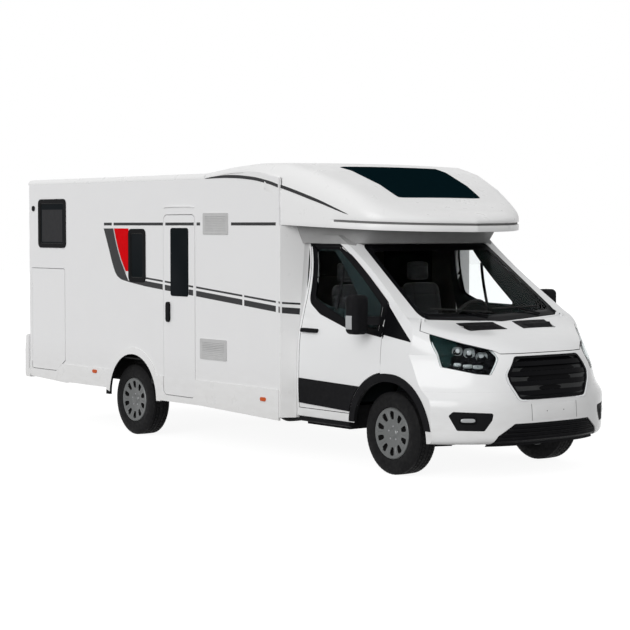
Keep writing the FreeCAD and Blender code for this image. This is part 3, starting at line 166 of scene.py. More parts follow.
black_plastic = plain("black_plastic", (0.008, 0.008, 0.009), 0.62, gloss=0.05)
black_gloss = plain("black_gloss", (0.005, 0.005, 0.006), 0.22, grain=60.0, depth=0.00003, gloss=0.03)
black_rubber = plain("black_rubber", (0.008, 0.008, 0.008), 0.6, grain=200.0, gloss=0.2)
steel_black = plain("steel_black", (0.010, 0.010, 0.011), 0.7, grain=150.0, depth=0.0004, gloss=0.1)
silver_paint = plain("silver_paint", (0.125, 0.13, 0.13), 0.35, Metallic=0.5)
bright_trim = plain("bright_trim", (0.62, 0.63, 0.64), 0.15, grain=80.0, depth=0.00002, Metallic=1.0)
reflector = plain("reflector", (0.24, 0.255, 0.26), 0.3, grain=60.0, depth=0.0012, Metallic=0.7)
louvre_grey = plain("louvre_grey", (0.50, 0.50, 0.50), 0.45)
interior_dark = plain("interior_dark", (0.009, 0.012, 0.013), 0.8, gloss=0.05)
interior_blue = plain("interior_blue", (0.003, 0.009, 0.012), 0.7, gloss=0.05)
interior_wall = plain("interior_wall", (0.03, 0.03, 0.03), 0.85, gloss=0.05)
stripe_grey = plain("stripe_grey", (0.036, 0.036, 0.038), 0.4, grain=120.0, depth=0.00002, gloss=0.1)
stripe_light = plain("stripe_light", (0.46, 0.46, 0.465), 0.35, grain=120.0, depth=0.00002)
stripe_red = plain("stripe_red", (0.66, 0.001, 0.004), 0.4, grain=120.0, depth=0.00002, gloss=0.02)
# Painted shade: grey for the inside of grooves and seams, where shade falls.
groove_painted_shade = plain("groove_painted_shade", (0.16, 0.16, 0.16), 0.7, gloss=0.05)
amber_lens = plain("amber_lens", (0.56, 0.085, 0.008), 0.25, gloss=0.15)
red_lens = plain("red_lens", (0.34, 0.004, 0.004), 0.2, gloss=0.1)
pale_lens = plain("pale_lens", (0.36, 0.37, 0.38), 0.15, Coat_Weight=0.3)
smoked_teal = plain("smoked_teal", (0.005, 0.016, 0.016), 0.3, gloss=0.05)
lining_teal = plain("lining_teal", (0.012, 0.020, 0.021), 0.7, gloss=0.05)
# Painted shade: a mid grey on white parts, standing in for the shade under the cap's overhang.
soffit_painted_shade = plain("soffit_painted_shade", (0.36, 0.36, 0.36), 0.5, gloss=0.1)
# Painted shade: near black for the wheel trims' slot floors, in place of openings between the spokes.
slot_painted_shade = plain("slot_painted_shade", (0.006, 0.006, 0.006), 0.8, gloss=0.05)
grille_black = plain("grille_black", (0.006, 0.007, 0.008), 0.35, gloss=0.25)
zinc_grey = plain("zinc_grey", (0.30, 0.30, 0.31), 0.45, Metallic=0.8)


def glass(name, tint, roughness=0.02, **sockets):
    """Sheet glass; tint is what a ray keeps at each face."""
    paint = Paint(name, tint, roughness, Transmission_Weight=1.0, IOR=1.04, **sockets)
    paint.rough(paint.noise(5.0), roughness, roughness * 1.5)
    return paint.material


clear_glass = glass("clear_glass", (0.95, 0.97, 0.97), gloss=0.02)
door_glass = glass("door_glass", (0.93, 0.95, 0.95), gloss=0.02)
lamp_glass = glass("lamp_glass", (0.86, 0.89, 0.89), gloss=0.12)


def privacy_glass():
    """Near-black acrylic pane with a soft unevenness in its gloss."""
    paint = Paint("privacy_glass", (0.004, 0.0065, 0.008), 0.16, gloss=0.012)
    paint.tint(paint.span(paint.noise(1.6, 1.0), 0.35, 0.65, 0.0, 1.0), (0.010, 0.012, 0.014))
    paint.bump(paint.noise(3.0, 1.0), 0.0008, 0.3)
    return paint.material


tinted_glass = privacy_glass()
skylight_glass = plain("skylight_glass", (0.002, 0.009, 0.012), 0.4, grain=2.0, depth=0.0005, gloss=0.0)


def tyre_rubber_paint():
    """Rubber with a faint lighter mottle, an uneven roughness and a fine grain."""
    paint = Paint("tyre_rubber", (0.006, 0.006, 0.0065), 0.7, gloss=0.1)
    paint.tint(paint.span(paint.noise(18.0, 6.0), 0.4, 0.75, 0.0, 0.6), (0.012, 0.012, 0.012))
    paint.rough(paint.noise(30.0), 0.55, 0.8)
    paint.bump(paint.noise(260.0), 0.0003, 0.5)
    return paint.material


tyre_rubber = tyre_rubber_paint()


def cloth_paint():
    """Woven seat cloth: warp and weft ridges 1.2 mm apart over a slow mottle."""
    paint = Paint("fabric_grey", (0.020, 0.021, 0.023), 0.92, Sheen_Weight=0.15, gloss=0.1)
    weave = paint.product(paint.waves("Y", 0.0024), paint.waves("Z", 0.0024))
    paint.tint(weave, (0.034, 0.036, 0.039))
    paint.tint(paint.span(paint.noise(4.0), 0.35, 0.7, 0.0, 0.5), (0.013, 0.014, 0.015))
    paint.bump(weave, 0.0004, 0.6)
    return paint.material


fabric_grey = cloth_paint()


# Materials of the CAD nodes


def dress(material, *names):
    """Give CAD nodes a material."""
    for name in names:
        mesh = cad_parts[name].data
        mesh.materials.clear()
        mesh.materials.append(material)


def both(*names):
    return [name + side for name in names for side in ("left", "right")]


def read(items, label, width=3, kind=float):
    """One property of all items of a mesh, as rows of an array."""
    values = np.empty(len(items) * width, dtype=kind)
    items.foreach_get(label, values)
    return values.reshape(-1, width)


def faces_of(name):
    """Centres and normals of a CAD node's faces, as arrays."""
    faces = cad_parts[name].data.polygons
    return read(faces, "center"), read(faces, "normal")


def dress_where(material, name, chosen):
    """Give some faces of a CAD node another material."""
    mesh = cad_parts[name].data
    mesh.materials.append(material)
    index = read(mesh.polygons, "material_index", 1, np.int32).ravel()
    index[chosen] = len(mesh.materials) - 1
    mesh.polygons.foreach_set("material_index", index)
    mesh.update()


dress(white_sheet, "rear_wall", "entrance_door", *both("side_wall_", "garage_door_"))
# The cap's white underside gets painted shade.
dress(soffit_painted_shade, "cap_soffit")
dress(white_gelcoat, "overcab_cap", "roof", "front_fairings", "rear_bumper", *both("skirt_"))
dress(white_lacquer, "cab_shell", "front_bumper", "bonnet", *both("cab_door_"))
dress(black_plastic, "cab_trims", "lower_intake", "fog_lamps", *both("door_mirror_"))
dress(black_gloss, "quarter_panels", "window_frames", "grille")
dress(interior_blue, "dashboard")
dress(black_rubber, "steering_wheel")
dress(steel_black, "chassis_frame", "front_subframe", "rear_axle", "engine", "tanks", *both("knuckle_"))
dress(silver_paint, *both("wheel_front_", "wheel_rear_"))
dress(tyre_rubber, *both("tyre_front_", "tyre_rear_"))
dress(louvre_grey, "body_vents", "roof_hatches")
dress(fabric_grey, "seat_cushions", "seat_backs")
dress(interior_dark, "seat_boxes", "cab_floor")
dress(interior_wall, "house_floor")
dress(amber_lens, "marker_lamps")
dress(red_lens, "rear_lamps")
dress(lamp_glass, "headlamps")
dress(clear_glass, "windscreen")
dress(door_glass, *both("cab_door_glass_"))
dress(tinted_glass, "window_panes", "entrance_window", "skylight")

CAB_MIDDLE = (1.75 + SHIFT, 0.0, 1.25)


def dress_solid(material, name, near):
    """Give one solid of a CAD node another material: the solid whose middle lies nearest to a place.
    Solids are told apart by carrying the lowest corner number over shared corners until it settles."""
    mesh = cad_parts[name].data
    corners = read(mesh.vertices, "co")
    index = read(mesh.polygons, "vertices", 3, np.int32)
    same = np.unique(np.round(corners, 5), axis=0, return_inverse=True)[1].ravel()
    faces = same[index]
    label = np.arange(same.max() + 1)
    while True:
        carried = label.copy()
        np.minimum.at(carried, faces.ravel(), np.repeat(label[faces].min(axis=1), 3))
        carried = carried[carried]
        if (carried == label).all():
            break
        label = carried
    owner = label[faces[:, 0]]
    numbers = np.unique(owner)
    spots = corners[index].mean(axis=1)
    solids = [spots[owner == number] for number in numbers]
    middles = np.array([(solid.min(axis=0) + solid.max(axis=0)) / 2 for solid in solids])
    nearest = numbers[np.linalg.norm(middles - np.array(near), axis=1).argmin()]
    dress_where(material, name, owner == nearest)


DOOR_SKIN_DEPTH = 1.02
DOOR_CLADDING, DOOR_HANDLE = (1.731, 1.036, 0.642), (1.434, 1.020, 1.208)
REAR_MARKER, ENTRANCE_HANDLE = (-3.419, 1.18, 2.338), (-0.642, -1.187, 1.302)
WINDOW_FOOT, WINDOW_HEAD, WINDOW_REAR, WINDOW_FRONT = 1.18, 1.965, 1.28, 2.47
SOFFIT_FOOT, SOFFIT_FRONT = 1.99, 2.15
PILLAR_PLACE, PILLAR_HALF, PILLAR_TOP = 2.457, 0.022, 1.52
STEP_PLACE, STEP_HALF, STEP_TOP = 2.12, 0.10, 0.62
GRILLE_HALF, GRILLE_LOW, GRILLE_HIGH = 0.50, 0.68, 1.08
ARCH_HALF, FLAP_PLACE, FLAP_TOP = 0.50, -1.745, 0.44


def dress_sides():
    """Linings, cladding and handles of the cab doors, window surrounds and the rear arches' dark inside."""
    for way, label in SIDES:
        node = "cab_door_" + label
        centres, normals = faces_of(node)
        x, out, z = centres[:, 0], way * centres[:, 1], centres[:, 2]
        dress_where(interior_dark, node, (normals[:, 1] * way < -0.5) & (out < DOOR_SKIN_DEPTH))
        for spot_x, spot_y, spot_z in (DOOR_CLADDING, DOOR_HANDLE):
            dress_solid(black_plastic, node, (spot_x, way * spot_y, spot_z))
        surround = (z > WINDOW_FOOT) & (x > WINDOW_REAR) & (x < WINDOW_FRONT) & (out > 0.88)
        surround &= np.abs(normals[:, 1]) < 0.75
        dress_where(black_plastic, node, surround | ((z > WINDOW_HEAD) & (out > 0.8)))
        spot_x, spot_y, spot_z = REAR_MARKER
        dress_solid(black_plastic, "marker_lamps", (spot_x, way * spot_y, spot_z))
        normals = faces_of("side_wall_" + label)[1]
        dress_where(interior_wall, "side_wall_" + label, normals[:, 1] * way < -0.5)
        centres, normals = faces_of("skirt_" + label)
        ring = np.hypot(centres[:, 0] - REAR_AXLE, centres[:, 2] - TYRE_RADIUS)
        hidden = (ring < ARCH_HALF) & (np.abs(normals[:, 1]) < 0.6) & (normals[:, 2] < 0.3)
        flap = (np.abs(centres[:, 0] - FLAP_PLACE) < 0.08) & (centres[:, 2] < FLAP_TOP)
        dress_where(black_plastic, "skirt_" + label, hidden | flap)


def dress_ends():
    """Linings of the roof and the fairings, painted shade on the cab's top under the cap, the cab's black
    parts, and the grille's surround.
    """
    centres, normals = faces_of("cab_shell")
    inner = ((np.array(CAB_MIDDLE) - centres) * normals).sum(axis=1) > 0
    dress_where(interior_dark, "cab_shell", inner)
    x, out, z = centres[:, 0], np.abs(centres[:, 1]), centres[:, 2]
    # Painted shade on the cab's white top where the cap overhangs it.
    dress_where(soffit_painted_shade, "cab_shell", (z > SOFFIT_FOOT) & (x < SOFFIT_FRONT))
    pillar = (np.abs(x - PILLAR_PLACE) < PILLAR_HALF) & (z > WINDOW_FOOT) & (z < PILLAR_TOP) & (out > 0.85)
    dress_where(black_plastic, "cab_shell", pillar)
    step = (np.abs(x - STEP_PLACE) < STEP_HALF) & (z < STEP_TOP) & (np.abs(normals[:, 1]) < 0.6)
    dress_where(black_plastic, "cab_shell", step)
    centres, normals = faces_of("front_bumper")
    out, z = np.abs(centres[:, 1]), centres[:, 2]
    behind = (out < GRILLE_HALF) & (z > GRILLE_LOW) & (z < GRILLE_HIGH) & (normals[:, 0] < 0.6)
    dress_where(black_plastic, "front_bumper", behind)
    dress_solid(black_plastic, "entrance_door", ENTRANCE_HANDLE)
    dress_where(interior_wall, "roof", faces_of("roof")[1][:, 2] < -0.5)
    centres, normals = faces_of("front_fairings")
    facing = (normals[:, 1] * np.sign(centres[:, 1]) < -0.3) | (normals[:, 0] < -0.9)
    dress_where(interior_wall, "front_fairings", facing)


ARCH_RADIUS, ARCH_STRETCH = 0.452, 0.035


def dress_arches():
    """Black inside of the front arches, on every node that they cut."""
    for node in ["cab_shell", "front_bumper"] + both("cab_door_"):
        centres = faces_of(node)[0]
        ahead = centres[:, 0] - FRONT_AXLE
        ahead = np.where(ahead > 0, np.maximum(ahead - ARCH_STRETCH, 0), ahead)
        ring = np.hypot(ahead, centres[:, 2] - TYRE_RADIUS)
        inside = (ring < ARCH_RADIUS + 0.006) & (centres[:, 0] > 1.9) & (centres[:, 2] < 0.9)
        dress_where(black_plastic, node, inside)


dress_sides()
dress_ends()
dress_arches()


# Meshes from grids of points


def xyz(x, y, z):
    """Places from their three coordinates, each an array or a number."""
    return np.stack(np.broadcast_arrays(x, y, z), axis=-1).astype(float)


def unit_grid(rows, columns):
    """Two grids of shares from 0 to 1: one that grows along the rows and one along the columns."""
    return np.meshgrid(np.linspace(0, 1, rows), np.linspace(0, 1, columns), indexing="ij")


def linked(name, data):
    """A new object of the scene."""
    made = bpy.data.objects.new(name, data)
    bpy.context.scene.collection.objects.link(made)
    return made


def cut_smooth(mesh, corner):
    """Smooth shading, sharp where faces meet at more than corner degrees."""
    mesh.shade_smooth()
    mesh.set_sharp_from_angle(angle=math.radians(corner))


def piece(name, points, faces, material, body, corner=40.0):
    """A mesh object made of an array of points and a list of faces, riding on a body."""
    mesh = bpy.data.meshes.new(name)
    places = np.asarray(points, dtype=float).reshape(-1, 3).tolist()
    mesh.from_pydata(places, [], [list(face) for face in faces])
    work = bmesh.new()
    work.from_mesh(mesh)
    bmesh.ops.remove_doubles(work, verts=work.verts, dist=1e-6)
    bmesh.ops.recalc_face_normals(work, faces=work.faces)
    work.to_mesh(mesh)
    work.free()
    cut_smooth(mesh, corner)
    mesh.materials.append(material)
    made = linked(name, mesh)
    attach(made, body)
    return made


def wall(made, thickness):
    """Give an open sheet a wall behind its face."""
    solid = made.modifiers.new("wall", "SOLIDIFY")
    solid.thickness = thickness
    solid.offset = -1.0


def grid_faces(rows, columns, wrap_rows=False, wrap_columns=False):
    """Quads between neighbours of a grid stored row by row."""
    i = np.arange(rows if wrap_rows else rows - 1)[:, None]
    j = np.arange(columns if wrap_columns else columns - 1)[None, :]
    below, right = (i + 1) % rows, (j + 1) % columns
    corners = (i * columns + j, i * columns + right, below * columns + right, below * columns + j)
    return np.stack(np.broadcast_arrays(*corners), axis=-1).reshape(-1, 4).tolist()


def slab(name, front, back, material, body, **options):
    """Closed slab between two grids of the same shape, walled round their rims."""
    front, back = np.asarray(front, dtype=float), np.asarray(back, dtype=float)
    rows, columns = front.shape[:2]
    count = rows * columns
    index = np.arange(count).reshape(rows, columns)
    rim = np.concatenate([index[0, :-1], index[:-1, -1], index[-1, :0:-1], index[:0:-1, 0]])
    after = np.roll(rim, -1)
    faces = grid_faces(rows, columns)
    faces += [[value + count for value in face[::-1]] for face in faces]
    faces += np.stack([rim, rim + count, after + count, after], axis=-1).tolist()
    points = np.concatenate([front.reshape(-1, 3), back.reshape(-1, 3)])
    return piece(name, points, faces, material, body, **options)


def tube(name, path, radius, material, body, sides=10, **options):
    """Round bar along a path that runs fairly level: circles square to its direction, closed at both ends."""
    path = np.array(path, dtype=float)
    run = np.gradient(path, axis=0)
    run /= np.linalg.norm(run, axis=1, keepdims=True)
    across = np.cross(run, [0.0, 0.0, 1.0])
    across /= np.linalg.norm(across, axis=1, keepdims=True)
    over = np.cross(across, run)
    angle = np.linspace(0, 2 * np.pi, sides, endpoint=False)
    radius = np.broadcast_to(np.asarray(radius, dtype=float), (len(path),))[:, None, None]
    ring = across[:, None] * np.cos(angle)[None, :, None] + over[:, None] * np.sin(angle)[None, :, None]
    faces = grid_faces(len(path), sides, False, True)
    faces += [list(range(sides)), [(len(path) - 1) * sides + k for k in range(sides)]]
    return piece(name, path[:, None] + radius * ring, faces, material, body, **options)


def smooth_path(corners, count, closed=False):
    """Points evenly spread by length along straight runs between corners."""
    corners = np.array(corners, dtype=float)
    if closed:
        corners = np.concatenate([corners, corners[:1]])
    length = np.concatenate([[0.0], np.cumsum(np.linalg.norm(np.diff(corners, axis=0), axis=1))])
    at = np.linspace(0, length[-1], count, endpoint=not closed)
    return np.stack([np.interp(at, length, corners[:, k]) for k in range(corners.shape[1])], axis=-1)


def rounded(corners, steps=7):
    """Outline with rounded corners: each corner (u, v, radius) becomes an arc between its two sides."""
    corners = np.array(corners, dtype=float)
    here, radius = corners[:, :2], corners[:, 2]
    before, after = np.roll(here, 1, axis=0) - here, np.roll(here, -1, axis=0) - here
    before /= np.linalg.norm(before, axis=1, keepdims=True)
    after /= np.linalg.norm(after, axis=1, keepdims=True)
    half = np.arccos(np.clip((before * after).sum(axis=1), -0.999, 0.999)) / 2
    reach = (radius / np.tan(half))[:, None]
    start, end = here + before * reach, here + after * reach
    t = np.linspace(0, 1, steps)[None, :, None]
    outline = (1 - t) ** 2 * start[:, None] + 2 * t * (1 - t) * here[:, None] + t ** 2 * end[:, None]
    return outline.reshape(-1, 2)


def resample(outline, count):
    """count points evenly spread by length round a closed outline."""
    return smooth_path(outline, count, closed=True)


def skin(points, surfaces, axis, way):
    """Points pressed along an axis onto the outer skin of CAD nodes or meshes.
    A point that meets nothing takes the depth of the nearest point that does."""
    corners, triangles, base = [], [], 0
    for surface in surfaces:
        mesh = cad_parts[surface].data if isinstance(surface, str) else surface
        corners.append(read(mesh.vertices, "co"))
        mesh.calc_loop_triangles()
        triangles.append(read(mesh.loop_triangles, "vertices", 3, np.int32) + base)
        base += len(mesh.vertices)
    target_mesh = bpy.data.meshes.new("target")
    target_mesh.from_pydata(np.concatenate(corners).tolist(), [], np.concatenate(triangles).tolist())
    target = linked("target", target_mesh)
    points = np.asarray(points, dtype=float)
    probe_mesh = bpy.data.meshes.new("probe")
    probe_mesh.from_pydata(points.reshape(-1, 3).tolist(), [], [])
    probe = linked("probe", probe_mesh)
    wrap = probe.modifiers.new("wrap", "SHRINKWRAP")
    wrap.target = target
    wrap.wrap_method = "PROJECT"
    setattr(wrap, "use_project_" + axis, True)
    wrap.use_positive_direction = way > 0
    wrap.use_negative_direction = way < 0
    evaluated = probe.evaluated_get(bpy.context.evaluated_depsgraph_get())
    result, start = read(evaluated.data.vertices, "co"), points.reshape(-1, 3)
    for made, mesh in ((probe, probe_mesh), (target, target_mesh)):
        bpy.data.objects.remove(made)
        bpy.data.meshes.remove(mesh)
    along = "xyz".index(axis)
    across = [k for k in range(3) if k != along]
    missed = np.abs(result[:, along] - start[:, along]) < 1e-6
    if missed.any() and not missed.all():
        gap = start[missed][:, None, across] - start[~missed][None, :, across]
        nearest = (gap ** 2).sum(axis=-1).argmin(axis=1)
        result[missed, along] = result[~missed][nearest, along]
    return result.reshape(points.shape)


def on_side(x, z, way, lift, nodes, reach=1.5):
    """Side-view places (x, z) pressed onto one side of the vehicle, lift metres out."""
    points = skin(xyz(x + SHIFT, way * reach, z), nodes, "y", -way)
    points[..., 1] += way * lift
    return points


# Cap over the cab


def curve_through(corners, per_span=24):
    """Smooth curve through points: on each span a cubic blend of the four points round it."""
    corners = np.array(corners, dtype=float)
    ends = np.concatenate([2 * corners[:1] - corners[1:2], corners, 2 * corners[-1:] - corners[-2:-1]])
    t = np.linspace(0, 1, per_span, endpoint=False)[None, :, None]
    a, b, c, d = (ends[k:len(ends) - 3 + k, None] for k in range(4))
    second, third = 2 * a - 5 * b + 4 * c - d, 3 * b - a - 3 * c + d
    spans = 0.5 * (2 * b + (c - a) * t + second * t ** 2 + third * t ** 3)
    return np.concatenate([spans.reshape(-1, corners.shape[1]), corners[-1:]])


CAP_REAR, CAP_NOSE = -0.070, 2.520
CAP_HALF_PLAN = [(CAP_REAR, -SIDE), (0.3, -SIDE), (0.60, -SIDE), (0.9, -1.1745), (1.13, -1.161),
                 (1.35, -1.130), (1.70, -1.048), (2.05, -0.932), (2.225, -0.790), (2.415, -0.480),
                 (CAP_NOSE, 0.0)]
CAP_TOP = np.array([(-0.07, 2.684), (0.36, 2.727), (0.76, 2.756), (1.13, 2.742), (1.45, 2.668),
                    (1.80, 2.532), (2.10, 2.372), (2.30, 2.290), (2.56, 2.225)])
CAP_LIP = 0.084
WALL_END, WALL_CORNER = 1.1311, 1.1609


def lip_height(u):
    """The cap's underside climbs gently towards the rear."""
    return 2.100 + 0.0475 * (CAP_NOSE - u)


def inward(u, y):
    """Distance of places inside the cap's outline from that outline."""
    right = curve_through(CAP_HALF_PLAN[3:])
    outline = np.concatenate([right, right[::-1] * [1, -1]])
    flat = np.stack([u.ravel(), y.ravel()], axis=-1)
    nearest = np.full(len(flat), 9.0)
    for start, end in zip(outline[:-1], outline[1:]):
        run = end - start
        size = max((run ** 2).sum(), 1e-12)
        t = np.clip(((flat - start) @ run) / size, 0, 1)[:, None]
        nearest = np.minimum(nearest, np.linalg.norm(flat - start - t * run, axis=1))
    beside = SIDE - np.abs(flat[:, 1])
    return np.where(flat[:, 0] < 0.9, beside, nearest).reshape(u.shape)


def cap_height(u, y):
    """Top of the cap: behind, the roof's section with round corners; ahead, a dome that rises from the lip
    as a superellipse of the distance from the outline, over a wider band the nearer the nose."""
    away = np.maximum(inward(u, y), 0.0)
    crown = np.interp(u, CAP_TOP[:, 0], CAP_TOP[:, 1])
    corner = np.interp(u, [0.0, 0.36, 0.76, 1.2], [0.050, 0.055, 0.08, 0.13])
    edge = crown - np.interp(u, [0.0, 0.4], [0.022, 0.018])
    lean = np.clip(away / corner, 0, 1)
    arc = edge - corner + corner * np.sqrt(np.maximum(1 - (1 - lean) ** 2, 0))
    behind = np.where(away < corner, arc, edge + (crown - edge) * (1 - (y / 1.1) ** 2))
    foot = lip_height(u) + CAP_LIP
    band = np.interp(u, [0.9, 1.35, 1.8, 2.15, 2.52], [0.14, 0.16, 0.20, 0.23, 0.26])
    power = np.interp(u, [0.9, 1.5, 2.0, 2.52], [3.0, 2.9, 2.9, 2.7])
    t = np.clip(away / band, 0, 1)
    ahead = foot + (crown - 0.012 * (y / 0.9) ** 2 - foot) * (1 - (1 - t) ** power) ** (1 / power)
    share = np.clip((u - 0.55) / 0.75, 0, 1)
    share = share ** 2 * (3 - 2 * share)
    return behind * (1 - share) + ahead * share


def cap_outline():
    """Outline of the cap from above, evenly spread, with close pairs where the side wall ends; and the
    directions that point inwards."""
    right = curve_through(CAP_HALF_PLAN)
    outline = smooth_path(np.concatenate([right, right[-2::-1] * [1, -1]]), 301)
    ends = (WALL_END - 0.0003, WALL_END + 0.0003)
    order = np.concatenate([outline, [(x, y) for y in (-WALL_CORNER, WALL_CORNER) for x in ends]])
    turn = np.where(order[:, 1] < 0, order[:, 0], 2 * CAP_NOSE - order[:, 0] + 1e-6)
    order = order[np.argsort(turn, kind="stable")]
    tangent = np.gradient(order, axis=0)
    tangent /= np.maximum(np.linalg.norm(tangent, axis=1, keepdims=True), 1e-9)
    return order, np.stack([-tangent[:, 1], tangent[:, 0]], axis=-1)


def cap_moulding():
    """One sheet from the turned-in lip, over the groove and up the sides to the middle line of the top."""
    order, inner = cap_outline()
    u = order[:, 0]
    seam = np.interp(u, [-0.07, 0.36, 0.76, WALL_END], [2.608, 2.648, 2.656, 2.596]) + 0.003
    ahead = u > WALL_END
    deep = np.clip((u - 1.72) / 0.10, 0, 1)
    rows = [(0.100, 0.0, 1), (0.006, 0.0, 1), (0.0015, 0.0015, 1), (0.0, 0.006, 1), (0.0, 0.050, 1),
            (0.002, 0.0545, deep), (0.012, 0.057, deep), (0.013, 0.060, deep), (0.013, 0.072, deep),
            (0.011, 0.0755, deep), (0.002, 0.078, deep)]
    grid = []
    for inset, height, factor in rows:
        place = order + inner * (inset * np.broadcast_to(factor, u.shape))[:, None]
        z = np.where(ahead, lip_height(u) + height, seam + height * 0.01)
        grid.append(np.column_stack([np.where(ahead[:, None], place, order), z]))
    spine = np.stack([np.minimum(u, 1.70), 0 * u], axis=-1)
    for step in np.linspace(0, 1, 46) ** 1.9:
        place = order + (spine - order) * step
        grid.append(np.column_stack([place, cap_height(place[:, 0], place[:, 1])]))
    grid = np.array(grid)
    grid[..., 0] += SHIFT
    made = piece("cap_moulding", grid, grid_faces(*grid.shape[:2]), white_gelcoat, "body", corner=32.0)
    # Painted shade: the faces inside the groove are grey.
    made.data.materials.append(groove_painted_shade)
    middles = read(made.data.polygons, "center")
    x, y = middles[:, 0] - SHIFT, middles[:, 1]
    depth = middles[:, 2] - lip_height(x)
    groove = (depth > 0.0565) & (depth < 0.0755) & (x > 1.74) & (inward(x, y) > 0.004)
    made.data.polygons.foreach_set("material_index", groove.astype(np.int32))
    wall(made, 0.008)
    made.cycles.shadow_terminator_geometry_offset = 0.3
    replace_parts(made, "overcab_cap")
    return made


cap = cap_moulding()


def skylight_pane():
    """Dark pane on the cap's slope: a four-sided grid, wider behind, lifted off the dome."""
    t, s = unit_grid(40, 40)
    s = 2 * s - 1
    bulge = np.abs(s) ** 14 * np.abs(2 * t - 1) ** 14
    u = 1.290 + 0.735 * t + 0.012 * bulge * (1 - 2 * t)
    y = s * (0.605 - 0.100 * t) * (1 - 0.012 * bulge)
    rim = np.clip(np.minimum(np.minimum(t, 1 - t) * 0.815, (1 - np.abs(s)) * 0.62) / 0.012, 0, 1)
    top = cap_height(u, y) + 0.002 + 0.006 * np.sqrt(1 - (1 - rim) ** 2)
    front, back = xyz(u + SHIFT, y, top), xyz(u + SHIFT, y, cap_height(u, y) - 0.004)
    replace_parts(slab("skylight_pane", front, back, skylight_glass, "body"), "skylight")


skylight_pane()


# Stripes on the sides

FILM_LIFT, FILM_WALL, DOOR_LIFT = 0.0009, 0.0007, 0.0024


def along_side(x, z, way, lift):
    """Points on the flat of a side wall, lift metres out."""
    return xyz(x + SHIFT, way * (SIDE + lift), z)


def film(name, x, z, way, material, body="body", lift=FILM_LIFT):
    """Thin film on a side wall over a grid of places."""
    slab(name, along_side(x, z, way, lift), along_side(x, z, way, lift - FILM_WALL), material, body)


def between(low, high, rows):
    """Grid of values: a row of steps from low to high for every pair."""
    t = np.linspace(0, 1, rows)[None, :]
    return np.asarray(low, dtype=float)[:, None] * (1 - t) + np.asarray(high, dtype=float)[:, None] * t


def side_band(name, x, low, high, way, material, body="body", lift=FILM_LIFT):
    """Film on a side wall from low up to high at every x."""
    z = between(low, high, 2)
    film(name, np.broadcast_to(np.asarray(x, dtype=float)[:, None], z.shape), z, way, material, body, lift)


DOOR_REAR, DOOR_FRONT = -0.79, -0.23
DOOR_WINDOW_REAR, DOOR_WINDOW_FRONT = -0.660, -0.341
UPPER_SPANS = ((-1.918, -1.764), (-1.727, -0.797), (-0.751, -0.249), (-0.202, -0.142), (0.375, 1.081))
LOWER_SPANS = ((-1.13, -0.805), (-0.764, -0.263), (-0.214, 0.555), (0.586, 1.081), (1.1215, 1.1295))
SWEEP_Z = np.array([2.129, 2.02, 1.91, 1.81, 1.73, 1.677, 1.64, 1.618])
SWEEP_REAR = np.array([-1.925, -1.872, -1.820, -1.776, -1.735, -1.702, -1.665, -1.622])
SWEEP_FRONT = np.array([-1.738, -1.701, -1.654, -1.601, -1.546, -1.505, -1.470, -1.4475])
WEDGE_FRONT = -1.4383


def on_door(way, x0, x1):
    """Body and lift of a stripe: the entrance door's own where it runs over the door."""
    if way < 0 and x0 > DOOR_REAR and x1 < DOOR_FRONT:
        return "entrance_door", DOOR_LIFT
    return "body", FILM_LIFT


def side_stripes(way, label):
    """Upper stripe and the pair of lower stripes, each in spans between the seams."""
    for number, (x0, x1) in enumerate(UPPER_SPANS):
        name = "upper_stripe_%s_%d" % (label, number)
        side_band(name, [x0, x1], [2.160] * 2, [2.189] * 2, way, stripe_grey, *on_door(way, x0, x1))
    for number, (x0, x1) in enumerate(LOWER_SPANS):
        ride = on_door(way, x0, x1)
        spans = [(x0, x1)]
        if ride[0] == "entrance_door":
            spans = [(x0, DOOR_WINDOW_REAR), (DOOR_WINDOW_FRONT, x1)]
        for part, span in enumerate(spans):
            x = np.array(span)
            top = 1.527 - 0.0800 * (x + 0.217)
            thin = 1.5685 - 0.0765 * (x + 0.217)
            place = "%s_%d%d" % (label, number, part)
            side_band("lower_stripe_" + place, x, top - 0.0555, top, way, stripe_grey, *ride)
            side_band("thin_stripe_" + place, x, thin - 0.018, thin, way, stripe_grey, *ride)


def side_sweep(way, label):
    """The sweep that joins the stripes, its foot, a pale line in front and the red wedge beside that."""
    height, knots = np.linspace(0, 1, 40), np.linspace(0, 1, 8)
    z = np.interp(height, knots, SWEEP_Z)
    x = between(np.interp(height, knots, SWEEP_REAR), np.interp(height, knots, SWEEP_FRONT), 5)
    drop = np.clip((1.70 - z) / 0.08, 0, 1)[:, None]
    film("sweep_" + label, x, z[:, None] - 0.022 * drop * np.linspace(0, 1, 5)[None, :], way, stripe_grey)
    foot_x = np.linspace(-1.622, -1.13, 12)
    foot_top = np.interp(foot_x, [-1.622, -1.4475, -1.13], [1.618, 1.5955, 1.600])
    foot_low = np.interp(foot_x, [-1.622, -1.579, -1.446, -1.13], [1.6178, 1.602, 1.582, 1.5445])
    side_band("sweep_foot_" + label, foot_x, foot_low, foot_top, way, stripe_grey)
    line_z, wedge_z = np.linspace(2.129, 1.668, 30), np.linspace(2.130, 1.690, 30)
    line_x = np.interp(-line_z, -SWEEP_Z, SWEEP_FRONT)
    line = np.stack([line_x + 0.001, line_x + 0.017], axis=1)
    film("light_line_" + label, line, line_z[:, None], way, stripe_light)
    wedge_x = np.interp(-wedge_z, -SWEEP_Z, SWEEP_FRONT) + 0.019
    wedge = np.stack([np.minimum(wedge_x, WEDGE_FRONT - 0.0002), np.full(30, WEDGE_FRONT)], axis=1)
    film("red_wedge_" + label, wedge, wedge_z[:, None], way, stripe_red)


